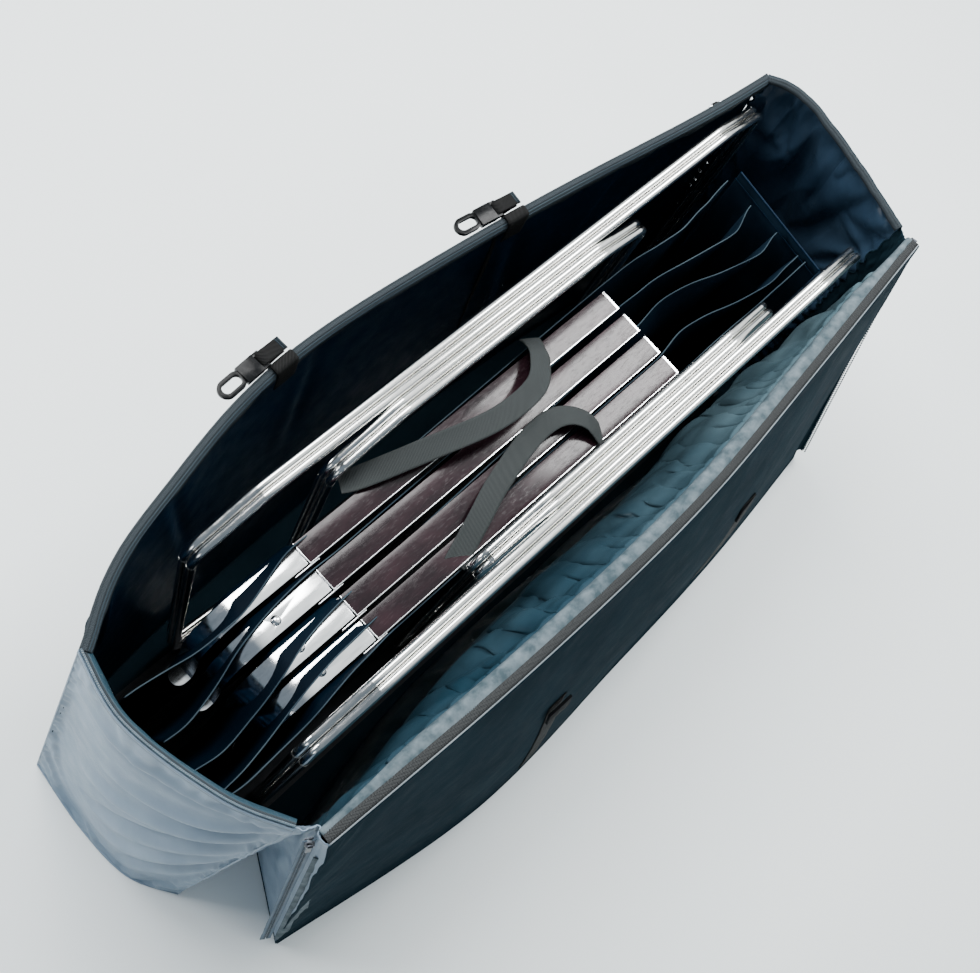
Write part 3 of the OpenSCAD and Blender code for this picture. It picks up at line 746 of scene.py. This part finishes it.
def corner_fold(panel, front_end, look, seed):
    """The folded corner between an end panel and the front: it tucks in to a crease and out again."""
    rows, cols = 90, 60
    a = smooth_path(GRIDS[panel][:, 0], rows)
    b = smooth_path(GRIDS["front"][:, front_end], rows)
    foot, rim = fold_line(panel)
    crease = foot + (rim - foot) * even(rows)[:, None]
    grid = np.zeros((rows, cols, 3))
    for c, x in enumerate(even(cols)):
        side, k = (a, x * 2) if x < 0.5 else (b, (1 - x) * 2)
        grid[:, c] = side + (crease - side) * (1 - (1 - k) ** 1.25)
    s = np.linspace(0, 0.25, cols)[None]
    h = np.linspace(0, 0.53, rows)[:, None]
    ripple = 4 * MM * noise(s / 0.035 + h / 0.09, h / 0.11, seed)
    ripple = ripple + 2 * MM * noise(s / 0.018, h / 0.03, seed + 1)
    pinned = step(even(cols), 0, 0.15) * step(1 - even(cols), 0, 0.15)
    grid = grid + normals(grid) * (ripple * pinned[None] * step(h, 0, 0.04))[..., None]
    name, out = panel + "_fold_cloth", np.array([0, -1.0, 0])
    cloth_piece(name, grid, [look, look], out, panel + "_gusset")


make_walls()
# The near fold takes the near end's paler look, whose colour is painted light.
corner_fold("near", 0, "end_cloth", 61)
corner_fold("far", -1, "shell_cloth", 67)


# ---- dividers and their band

# How far each divider's top edge leans to the front (-) or the back (+), as [x, lean] in millimetres.
DIVIDER_LEAN = {
    1: [[-530, -16], [-500, -20], [-440, -30], [-385, -30], [-350, -20], [-310, -8], [-230, -5],
        [-60, -1], [150, 3], [300, 6], [350, -3], [385, -9], [445, 0], [519, 5]],
    2: [[-530, -40], [-505, -44], [-450, -30], [-415, -18], [-365, -8], [-320, -4], [-180, -2], [60, 2],
        [240, 6], [300, 6], [330, 1], [375, -9], [420, -17], [467, -17], [519, -3]],
    3: [[-530, -42], [-500, -50], [-424, -37], [-390, -29], [-362, -19], [-328, -13], [-285, -9],
        [-150, -4], [100, 4], [235, 11], [290, 18], [336, 9], [376, -7], [416, -17], [461, -24],
        [519, -14]],
    4: [[-530, -42], [-500, -42], [-428, -28], [-384, -20], [-346, -15], [-300, -13], [-200, -6], [0, 0],
        [230, 0], [280, 8], [325, 1], [360, -11], [402, -19], [434, -24], [519, -20]],
    5: [[-530, -14], [-500, -20], [-450, -17], [-400, -15], [-340, -6], [-280, -1], [0, 0],
        [300, 0], [519, 0]],
}


def lean_at(x, knots):
    knots = np.array(knots, float) * MM
    fine = np.linspace(x[0], x[-1], 400)
    value = np.interp(fine, knots[:, 0], knots[:, 1])
    return np.interp(x, fine, smoothed(value, 23))


def divider_grid(i, cols, rows):
    lo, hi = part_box(f"divider_{i}")
    y = (lo.y + hi.y) / 2
    x = np.linspace(lo.x, hi.x, cols)
    lean = lean_at(x, DIVIDER_LEAN[i])
    before_ledge = 1 - step(x, LEDGE_START - 10 * MM, LEDGE_START + 40 * MM)
    over_arm = step(x, ARM_END - 20 * MM, ARM_FLAT_END) * before_ledge
    far = step(x, 0.24, 0.5)
    top = hi.z + 14 * MM * over_arm + far * (BAND_TOP - hi.z) * 0.8
    top = top + 2 * MM * noise(x / 0.09, i * 3.1, 71)
    bend_from = lo.z + (ARM_TOP - lo.z) * (0.45 + 0.535 * over_arm)
    bend_from = np.where(x > LEDGE_START, lo.z + (hi.z - lo.z) * (0.86 - 0.5 * far), bend_from)
    v = 1 - (1 - even(rows)) ** 1.8
    z = lo.z + (top - lo.z)[None] * v[:, None]
    share = np.clip((z - bend_from) / (top - bend_from), 0, 1) ** 1.4
    free = (1 - step(x, LEDGE_START - 30 * MM, LEDGE_START + 10 * MM)) + step(x, 0.23, 0.30)
    wave = 5 * MM * noise(x / 0.07 + z / 0.2, z / 0.12, 80 + i)
    wave = wave + 2 * MM * noise(x / 0.03, z / 0.06, 90 + i)
    clear = 0.35 * (1 - over_arm) * free if i < 5 else 0.2 * free
    offset = lean * share + wave * clear * step(z, lo.z, lo.z + 80 * MM)
    short = -30 * MM * share * step(x, 0.40, hi.x)
    return np.stack([x + short, y + offset, z], axis=2)


def bead(name, path, radius, look):
    path = resample(path, 3 * MM)
    side, up = beside(path)
    return put(sweep(name, path, side, up, round_section(radius), look))


def make_dividers():
    for i in range(1, 6):
        name = f"divider_{i}"
        grid = divider_grid(i, 240, 60)
        cloth_piece(name + "_cloth", grid, ["divider_cloth"] * 2, np.array([0, 1.0, 0]), name)
        bead(name + "_edge", grid[-1], 0.8 * MM, "divider_edge")


def make_end_band():
    """The insert's end: its top leans in over the dividers and is turned over in a soft hem."""
    lo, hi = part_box("divider_end_band")
    cols, rows = 90, 90
    y = np.linspace(lo.y, hi.y, cols)
    v = 1 - (1 - even(rows)) ** 1.6
    z = lo.z + (hi.z - lo.z) * v
    yy, zz = np.meshgrid(y, z)
    down = hi.z - zz
    front = 1 - (yy - lo.y) / (hi.y - lo.y)
    lean = -(8 + 16 * front) * MM * (1 - step(down, 0, 0.16))
    ripple = gathers(yy, down, 0.035, 4, 0.16, 0.3, 101) * step(down, 0, 0.03)
    sunk = 4 * MM * front * (1 - step(down, 0, 0.05))
    grid = np.stack([(lo.x + hi.x) / 2 + lean + ripple, yy, zz - sunk], axis=2)
    out = np.array([1.0, 0, 0])
    cloth_piece("divider_end_cloth", grid, ["divider_cloth"] * 2, out, "divider_end_band")
    bead("divider_end_edge", grid[-1], 1.6 * MM, "inner_cloth")
    hem = grid[-1] + np.array([-2.2, 0, -13]) * MM
    bead("divider_end_seam", hem, 0.6 * MM, "inner_cloth")


make_dividers()
make_end_band()


# ---- rim, hem and corners

def rim_path(key):
    """A wall's top edge as the folds leave it, and the level direction out of the bag at each point."""
    path = resample(GRIDS[key][-1], 0.8 * MM)
    t = np.gradient(path, axis=0)
    t[:, 2] = 0
    out = unit(np.stack([-t[:, 1], t[:, 0], np.zeros(len(t))], axis=1))
    if (out * WALLS[key].out).sum() < 0:
        out = -out
    return path, out


def zip_strip(key, band, look):
    """Zip teeth along a rim. band holds their start, width, level, pitch and depth in mm."""
    start, width, level, pitch, depth = mm(*band)
    path, out = rim_path(key)
    x = start + np.linspace(0, width, 4)
    foot = level - 1.2 * MM
    section = [[x[0], foot], *[[a, level] for a in x], [x[-1], foot]]
    section = ribbed(path, section, slice(1, 5), pitch, depth)
    return put(sweep(key + "_zip_coil", path, out, like(UP, path), section, look))


def tape_strip(key, part, section, look, wave=0.0, seed=0):
    """A tape along a rim. section is [outwards, up] points along its middle, and wave its sway, in mm."""
    path, out = rim_path(key)
    line, wave = mm(*section), wave * MM
    d = unit(np.gradient(line, axis=0))
    n = np.stack([-d[:, 1], d[:, 0]], axis=1) * 0.45 * MM
    ring = np.concatenate([line + n, (line - n)[::-1]])
    ring = np.repeat(ring[None], len(path), axis=0)
    s = lengths(path)
    k = len(line)
    sway = wave * noise(s / 0.05, 0.5, seed) + 0.4 * wave * noise(s / 0.016, 0.5, seed + 1)
    for row, share in enumerate(even(k)):
        for j in (row, 2 * k - 1 - row):
            ring[:, j, 1] += sway * share
            ring[:, j, 0] += 0.4 * sway * share
    put(sweep(f"{key}_{part}", path, out, like(UP, path), ring, look))


def rim_bead(key, part, out_by, up_by, radius, look):
    """A round bead beside a rim, in mm."""
    path, out = rim_path(key)
    path = path + out * (out_by * MM) + UP * (up_by * MM)
    return bead(f"{key}_{part}", path, radius * MM, look)


def make_back_rim():
    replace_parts(zip_strip("back", (-6, 5, 2.4, 2.6, 0.7), "zip_tape"), "rim_zip")
    tape = [[-6, 1.5], [-8.5, 0], [-10, -5], [-10.5, -11]]
    binding = [[-5.5, 0.2], [-7.6, -4], [-8.2, -12], [-8, -20]]
    tape_strip("back", "zip_tape", tape, "zip_tape", 2.5, 111)
    tape_strip("back", "inner_binding", binding, "zip_tape", 4, 117)
    rim_bead("back", "piping", 0.3, 1.4, 1.7, "zip_tape")
    rim_bead("back", "stitch_1", -7.5, 1.3, 0.5, "divider_edge")
    rim_bead("back", "stitch_2", -9.9, -2.5, 0.5, "divider_edge")


def make_near_rim():
    zip_strip("near", (-2.6, 2.8, 2.6, 2.4, 0.9), "zip_teeth")
    tape = [[-2.6, 1], [-4.5, 0.3], [-5.5, -3], [-5.8, -7]]
    lining = [[-3.5, 0], [-6.5, -1.5], [-9, -6], [-9.5, -13]]
    tape_strip("near", "zip_tape", tape, "zip_tape", 1.5, 121)
    tape_strip("near", "lining_edge", lining, "lining_cloth", 6, 127)
    # The hem takes the near end's paler look, whose colour is painted light.
    tape_strip("near", "hem", [[1.3, 1], [2.2, -2], [2.6, -7]], "end_cloth")
    rim_bead("near", "hem_stitch", 2.9, -6, 0.45, "piping")


def make_far_rim():
    tape = [[1.5, 0.6], [-1, 2.4], [-5, 2.6], [-8, 1.2], [-9.6, -3]]
    tape_strip("far", "zip_tape", tape, "zip_tape", 1.2, 131)
    zip_strip("far", (-5.4, 3.2, 3.2, 2.6, 0.6), "zip_tape")
    rim_bead("far", "piping", 1.2, 0.8, 1.5, "shell_cloth")


def make_front_hem():
    coil = zip_strip("front", (-13, 11, 2.2, 2.8, 0.8), "hem_tape")
    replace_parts(coil, "hem_zip")
    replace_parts(rim_bead("front", "piping", -1.2, 1.5, 1.0, "piping"), "hem_piping")


def make_front_facing():
    """The puckered strip between the front's zip and its lining, wider away from its two ends."""
    facing = mm([-12, 1.6], [-16, 2.2], [-20, 2.0], [-24, 0.8], [-27, -3], [-28, -9])
    path, out = (x[::3] for x in rim_path("front"))
    s = lengths(path)
    grid = path[None] + out[None] * facing[:, None, :1] + UP * facing[:, None, 1:]
    rows = 26
    grid = np.einsum("ri,ick->rck", weights(even(rows), len(facing)), grid)
    across = even(rows)[:, None]
    pucker = 1.3 * MM * noise(s / 0.011, across * 2, 141) + 1.6 * MM * noise(s / 0.04, across, 143)
    grid = grid + UP * (pucker * (0.25 + 0.75 * across))[..., None]
    ends = 1 - step(np.minimum(s, s[-1] - s), 0, 0.15)
    grid = grid + out[None] * (across * 10 * MM * ends)[..., None]
    obj = shell("front_facing", grid, TRIM_T, ["facing_cloth"] * 2, UP)
    put(obj)


def make_corner_seams():
    """The upright seams where the walls meet, and the seam round the base."""
    for name, key, col in (
        ("near_back_seam", "near", -1), ("far_back_seam", "far", -1),
        ("near_front_seam", "front", 0), ("far_front_seam", "front", -1),
        ("near_crease_seam", "near", 0), ("far_crease_seam", "far", 0),
    ):
        # On the near end the seams take its paler look, whose colour is painted light.
        look = "end_cloth" if key == "near" else "shell_cloth"
        bead(name, GRIDS[key][:, col], 1.5 * MM, look)
    for key in ("near", "back", "far", "front"):
        # On the near end the base seam takes its paler look, whose colour is painted light.
        look = "end_cloth" if key == "near" else "shell_cloth"
        path = resample(GRIDS[key][0], 4 * MM)
        bead(key + "_base_seam", path + UP * 0.5 * MM, 2.2 * MM, look)


def zip_ends(node):
    """The line down a corner zip and the direction across it, from its CAD bars."""
    co = unique_points(node)
    top = co[co[:, 2] > co[:, 2].max() - 4 * MM]
    foot = co[co[:, 2] < co[:, 2].min() + 4 * MM]
    _, _, axes = np.linalg.svd(top - top.mean(axis=0))
    return top.mean(axis=0), foot.mean(axis=0), unit(axes[0])


def corner_teeth(node, name, look, tape_look=None):
    """Zip teeth: small blocks that alternate from side to side down the corner, on their tapes."""
    top, foot, across = zip_ends(node)
    down = unit(foot - top)
    out = unit(np.cross(down, across))
    square = ((-1, -1), (1, -1), (1, 1), (-1, 1))
    tooth = np.array([[x, y, z] for z in (-1, 1) for x, y in square]) * mm(1.05, 0.9, 1.15)
    sides = [[k, (k + 1) % 4, (k + 1) % 4 + 4, k + 4] for k in range(4)]
    tooth_faces = np.array([[0, 3, 2, 1], [4, 5, 6, 7], *sides])
    points, faces = [], []
    for k in range(int(np.linalg.norm(foot - top) / TOOTH_PITCH)):
        side = 1 if k % 2 else -1
        centre = top + down * (k + 0.5) * TOOTH_PITCH + across * side * 1.75 * MM
        faces.append(tooth_faces + len(points) * 8)
        points.append(centre + tooth @ np.stack([across, down, out]))
    obj = new_object(name, np.concatenate(points), np.concatenate(faces), [look], smooth=False)
    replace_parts(obj, node)
    put(obj)
    for side, suffix in ((-1, "a"), (1, "b")) if tape_look else ():
        x = np.linspace(TAPE_START, 7, 6)[None, :, None] * MM * side
        t = even(120)
        line = top + (foot - top) * t[:, None]
        sway = 1.2 * MM * noise(t / 0.06, side + 0.5, 151)
        grid = line[:, None] + across * x + out * (sway[:, None] * even(6))[..., None]
        put(shell(f"{name}_tape_{suffix}", grid, TAPE_T, [tape_look] * 2, out))


def corner_edge(node, name, edge, look):
    """Cloth that carries a corner zip on a wall's upright edge: from that edge to beside the teeth."""
    top, foot, across = zip_ends(node)
    line = top + (foot - top) * even(120)[:, None]
    side = np.stack([np.interp(line[:, 2], edge[:, 2], edge[:, k]) for k in range(3)], axis=1)
    toward = across * np.sign(((side - line) @ across).mean())
    share = even(6)[None, :, None]
    outer, inner = line + toward * 7 * MM, line + toward * TAPE_START * MM
    grid = np.concatenate([
        side[:, None] * (1 - share) + outer[:, None] * share,
        outer[:, None] * (1 - share[:, 1:]) + inner[:, None] * share[:, 1:]
    ], axis=1)
    put(shell(name, grid, TAPE_T, [look] * 2, unit(np.cross(foot - top, across))))


def corner_binding():
    """Crumpled pale binding beside the near corner's zip, down to the floor."""
    top, foot, across = zip_ends("near_corner_zip")
    toward_front = across if across[0] > 0 else -across
    rows, cols = 130, 22
    t = np.linspace(0.12, 0.985, rows)[:, None]
    x = even(cols)[None]
    width = (12 + 9 * np.sin(math.pi * t) + 5 * noise(t / 0.09, 0.5, 161)) * MM
    line = top + (foot - top) * t[..., None]
    out = unit(np.cross(foot - top, across))
    out = out if out[1] < 0 else -out
    lift = 2.5 * MM * np.sin(math.pi * x) + 2.6 * MM * noise(t / 0.03 + x, x * 2.5, 163) * x
    grid = line + toward_front * (10.5 * MM + width * x)[..., None] + out * (lift + 3 * MM)[..., None]
    obj = shell("near_corner_binding", grid, TRIM_T, ["facing_cloth"] * 2, out)
    put(obj)


make_back_rim()
make_near_rim()
make_far_rim()
make_front_hem()
make_front_facing()
make_corner_seams()
corner_teeth("near_corner_zip", "near_zip_teeth", "zip_teeth", "corner_tape")
corner_teeth("far_corner_zip", "far_zip_teeth", "shell_cloth")
corner_edge("far_corner_zip", "far_corner_edge", GRIDS["front"][:, -1], "shell_cloth")
corner_binding()


# ---- webbing, clips and fittings

# The insert's handles, as [x, y, z, direction of the width] in millimetres and degrees.
HANDLE_BACK = [
    [-206, 165, 462, 46], [-180, 154, 472, 56], [-111, 131, 485, 70], [-24, 105, 497, 78],
    [44, 104, 499, 100], [82, 128, 488, 138], [96, 148, 476, 156], [101, 158, 469, 164],
]
HANDLE_FRONT = [
    [-168, 12, 462, 108], [-112, 32, 475, 110], [-66, 48, 479, 106], [8, 64, 479, 92],
    [52, 60, 481, 62], [78, 36, 477, 22], [84, 4, 463, 6],
]


def handle(name, node, knots, tilt, seed):
    """A webbing handle: it lies in a soft arch, turns a little on its way and curls at its edges."""
    p = smooth_path(knots, 160)
    path = p[:, :3] * MM
    path[:, 2] += HANDLE_T / 2
    a = np.radians(p[:, 3])
    side = np.stack([np.cos(a), np.sin(a), np.zeros(len(a))], axis=1)
    t = unit(np.gradient(path, axis=0))
    side = unit(side - t * (side * t).sum(axis=1, keepdims=True))
    up = np.cross(t, side)
    up = np.where(up[:, 2:] < 0, -up, up)
    x = np.linspace(0, 1, len(path))
    turn = np.interp(x, *np.array(tilt).T)[:, None]
    side, up = side * np.cos(turn) + up * np.sin(turn), up * np.cos(turn) - side * np.sin(turn)
    section = np.repeat(flat_section(HANDLE_W, HANDLE_T, parts=10)[None], len(path), axis=0)
    cup = 1.4 * MM * noise(x / 0.12, 0.5, seed)[:, None]
    section[..., 1] += cup * (2 * section[..., 0] / HANDLE_W) ** 2
    obj = sweep(name, path, side, up, section, "handle_webbing")
    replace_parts(obj, node)
    put(obj)


def rim_spot(node):
    """Where a back strap crosses the rim, the direction along the rim there and the one outwards."""
    path, out = rim_path("back")
    co = unique_points(node)
    top = co[co[:, 2] > FIRST_RIM + 2 * MM]
    middle = (top[:, 0].min() + top[:, 0].max()) / 2
    i = int(np.argmin(np.abs(path[:, 0] - middle)))
    t = unit(path[min(i + 8, len(path) - 1)] - path[i - 8])
    return path[i], t, out[i]


def wall_strap(name, key, co, low, high):
    """A strap stitched flat up the outside of a wall, where its CAD solid's points are."""
    grid = GRIDS[key]
    lower = co[co[:, 2] < co[:, 2].min() + 10 * MM][:, 0].mean()
    upper = co[co[:, 2] > co[:, 2].max() - 10 * MM][:, 0].mean()
    z = np.linspace(low, high, 80)
    rows = [int(np.argmin(np.abs(grid[:, 0, 2] - level))) for level in z]
    xs = lower + (upper - lower) * (z - co[:, 2].min()) / (co[:, 2].max() - co[:, 2].min())
    y = [np.interp(x, grid[r, :, 0], grid[r, :, 1]) for r, x in zip(rows, xs)]
    path = np.stack([xs, smoothed(y, 9), z], axis=1)
    t = unit(np.gradient(path, axis=0))
    out = unit(WALLS[key].out - t * (t @ WALLS[key].out)[:, None])
    section = flat_section(STRAP_W, 1.3 * MM, 0.1 * MM)
    return put(sweep(name, path + out * 1.2 * MM, np.cross(t, out), out, section, "webbing"))


def bent_strap(name, path, across, section):
    """Webbing along a path that bends in one plane, with its width across that plane."""
    d = unit(np.gradient(path, axis=0))
    side = like(across, path)
    put(sweep(name, path, side, np.cross(d, side), section, "webbing"))


def over_rim_strap(i):
    """A back strap: up the outside, over the rim and down inside, with a stitched sleeve for its clip."""
    node = f"back_strap_{i}"
    p, t, out = rim_spot(node)
    co = unique_points(node)
    co = co[co[:, 2] < FIRST_RIM + 0.5 * MM]
    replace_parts(wall_strap(node + "_outside", "back", co, 40 * MM, FIRST_RIM - 2 * MM), node)
    line = smooth_path(mm(
        [2.4, -30], [2.6, -8], [2.4, 2], [0.5, 5.4], [-4, 5.9], [-8.5, 5.0], [-10.8, 1],
        [-11.4, -14], [-11.2, -36]
    ), 60)
    path = p + out * line[:, :1] + UP * line[:, 1:]
    path[:, 2] += FIRST_RIM - p[2]
    bent_strap(node + "_over", path, t, flat_section(STRAP_W + 2 * MM, 1.8 * MM, 0.2 * MM))
    bar = clip_bar(i)
    level = bar[2]
    out_by = (bar - p) @ out
    reach = (bar - p) @ t / MM
    line = smooth_path(mm(
        [14, 3.4], [2, 4.0], [reach + 9, 4.8], [reach + 3, 5.6], [reach - 2.2, 4.2], [reach - 4.6, 0],
        [reach - 2.2, -4.2], [reach + 3, -5.4], [reach + 10, -3.8], [0, -2.6], [10, -2.2]
    ), 120)
    path = np.array([p[0], p[1], level]) + t * line[:, :1] + UP * line[:, 1:] + out * out_by
    bent_strap(node + "_sleeve", path, out, flat_section(SLEEVE_W, 1.5 * MM))
    seam = SLEEVE_W / 2 - 1 * MM
    for k, x in enumerate((12, 9.5)):
        across = np.linspace(-seam, seam, 24)[:, None]
        line = np.array([p[0], p[1], level + 4.6 * MM]) + t * x * MM + out * (out_by + across)
        bead(f"{node}_stitch_{k + 1}", line, 0.5 * MM, "divider_edge")


def clip_bar(i):
    """The middle of the bar that a clip swings on, from its joint."""
    joint = next(j for j in frame["joints"] if j["name"] == f"clip_{i}_swing")
    return np.array(joint["pos_m"], float)


def make_fittings():
    for i in (1, 2):
        over_rim_strap(i)
        rounded(f"clip_{i}", 1.1, "clip_plastic", body=f"clip_{i}")
    for end in ("near", "far"):
        for part, width in (("slider", 0.45), ("puller", 0.4)):
            rounded(f"{end}_{part}", width, "slider_metal", body=f"{end}_{part}")
    rounded("ring_tab", 0.5, "clip_plastic")


def make_front_straps():
    co = unique_points("front_straps")
    split = co[:, 0].mean()
    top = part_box("front_straps")[1].z
    pieces = [
        wall_strap(f"front_strap_{k + 1}", "front", part, 40 * MM, top)
        for k, part in enumerate((co[co[:, 0] < split], co[co[:, 0] >= split]))
    ]
    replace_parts(pieces[0], "front_straps")


back_tilt = [[0, -0.3], [0.2, 0.25], [0.5, 0.0], [0.8, 0.35], [1, 0.2]]
front_tilt = [[0, 0.2], [0.5, 0.0], [0.75, -0.3], [1, -0.5]]
handle("insert_handle_back", "inner_handle_back", HANDLE_BACK, back_tilt, 171)
handle("insert_handle_front", "inner_handle_front", HANDLE_FRONT, front_tilt, 173)
make_fittings()
make_front_straps()
rounded("front_buckles", 1.0, "buckle_plastic")
rounded("bottom_panel", 0.8, "shell_cloth")


# ---- stands

def dress(node, slot):
    mesh = NODES[node].data
    mesh.materials.clear()
    mesh.materials.append(LOOKS[slot])


def desk_latch(i):
    """The small bright latch beside the joint between a desk's lip and its arm."""
    lo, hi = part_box(f"desk_trim_{i}")
    count = 30
    x = np.linspace(-24, 12, count) * MM + LEDGE_START
    path = np.stack([x, np.full(count, lo.y - 1.1 * MM), np.full(count, hi.z - 3.2 * MM)], axis=1)
    section = mm([-0.9, -1.6], [0.9, -1.6], [1.3, 0], [0.9, 1.6], [-0.9, 1.6], [-1.3, 0])
    swell = 0.45 + 0.55 * np.sin(np.linspace(0.15, math.pi - 0.15, count)) ** 0.5
    side = like(np.array([0, 1.0, 0]), path)
    ring = section[None] * swell[:, None, None]
    latch = sweep(f"desk_latch_{i}", path, side, like(UP, path), ring, "edge_chrome")
    put(latch, f"desk_{i}")


def make_stands():
    for i in range(1, 5):
        desk = f"desk_{i}"
        dress(f"long_frame_{i}", "tube_chrome")
        dress(f"short_frame_{i}", "tube_chrome")
        rounded(desk, 0.45, "desk_enamel", body=desk)
        rounded(f"desk_trim_{i}", 0.3, "edge_chrome", body=desk)
        rounded(f"desk_arm_{i}", 0.35, "arm_chrome", body=desk)
        dress(f"desk_rivet_{i}", "rivet_chrome")
        desk_latch(i)
    dress("pull_ring", "ring_wire")
    dress("bottom_board", "base_board")


make_stands()


# ---- camera, light and floor

def camera():
    a, e, r = (math.radians(v) for v in (AZIMUTH, ELEVATION, ROLL))
    back = Vector((math.sin(a) * math.cos(e), -math.cos(a) * math.cos(e), math.sin(e)))
    right = Vector((math.cos(a), math.sin(a), 0))
    up = back.cross(right)
    tilted = right * math.cos(r) + up * math.sin(r)
    basis = Matrix((tilted, back.cross(tilted), back)).transposed()
    data = bpy.data.cameras.new("camera")
    data.lens = LENS_MM
    data.sensor_width = 36
    cam = add_object("camera", data)
    cam.matrix_world = Matrix.Translation(LOOK_AT + back * DISTANCE) @ basis.to_4x4()
    bpy.context.scene.camera = cam


def area_light(name, position, target, size, power, color=(1, 1, 1)):
    data = bpy.data.lights.new(name, "AREA")
    data.shape = "RECTANGLE"
    data.size, data.size_y = size
    data.energy = power
    data.color = color
    o = add_object(name, data)
    o.location = position
    o.rotation_euler = (Vector(target) - Vector(position)).to_track_quat("-Z", "Y").to_euler()


def studio_world():
    """Soft light from all round, brightest overhead and towards the far end."""
    world = bpy.data.worlds.new("studio")
    world.use_nodes = True
    tree = world.node_tree
    split = node(tree, "SeparateXYZ", Vector=node(tree, "TexCoord").outputs["Generated"]).outputs
    high = math_node(tree, "MULTIPLY", split[2], 0.75)
    level = math_node(tree, "MULTIPLY_ADD", split[0], 0.7, high)
    color = ramp(tree, level, (0.13, 0.16, 0.19), (0.94, 0.99, 1.0), 0.52, 0.88)
    background = tree.nodes["Background"].inputs
    plug(tree, background["Color"], color)
    plug(tree, background["Strength"], 1.35)
    bpy.context.scene.world = world


def floor():
    bpy.ops.mesh.primitive_plane_add(size=30, location=(0, 0, 0))
    o = bpy.context.object
    o.name = "floor"
    tree, b = shader("floor", (0.93, 0.985, 0.99), 0.9, Specular_IOR_Level=0.1)
    vary(tree, b, grain(tree, 3, 2), (0.92, 0.975, 0.98), (0.94, 0.995, 1.0))
    o.data.materials.append(LOOKS["floor"])


camera()
studio_world()
area_light("key", (0.1, 1.5, 2.9), (0, 0, 0.3), (1.7, 1.4), 120)
area_light("end_fill", (-1.5, 2.0, 1.3), (-0.6, 0, 0.3), (0.7, 0.6), 34)
area_light("tip_light", (-2.3, -0.6, 1.5), (-0.4, 0.05, 0.45), (0.5, 0.6), 4)
area_light("far_softbox", (1.75, 0.2, 2.35), (0.1, 0.06, 0.466), (0.9, 1.3), 90)
floor()
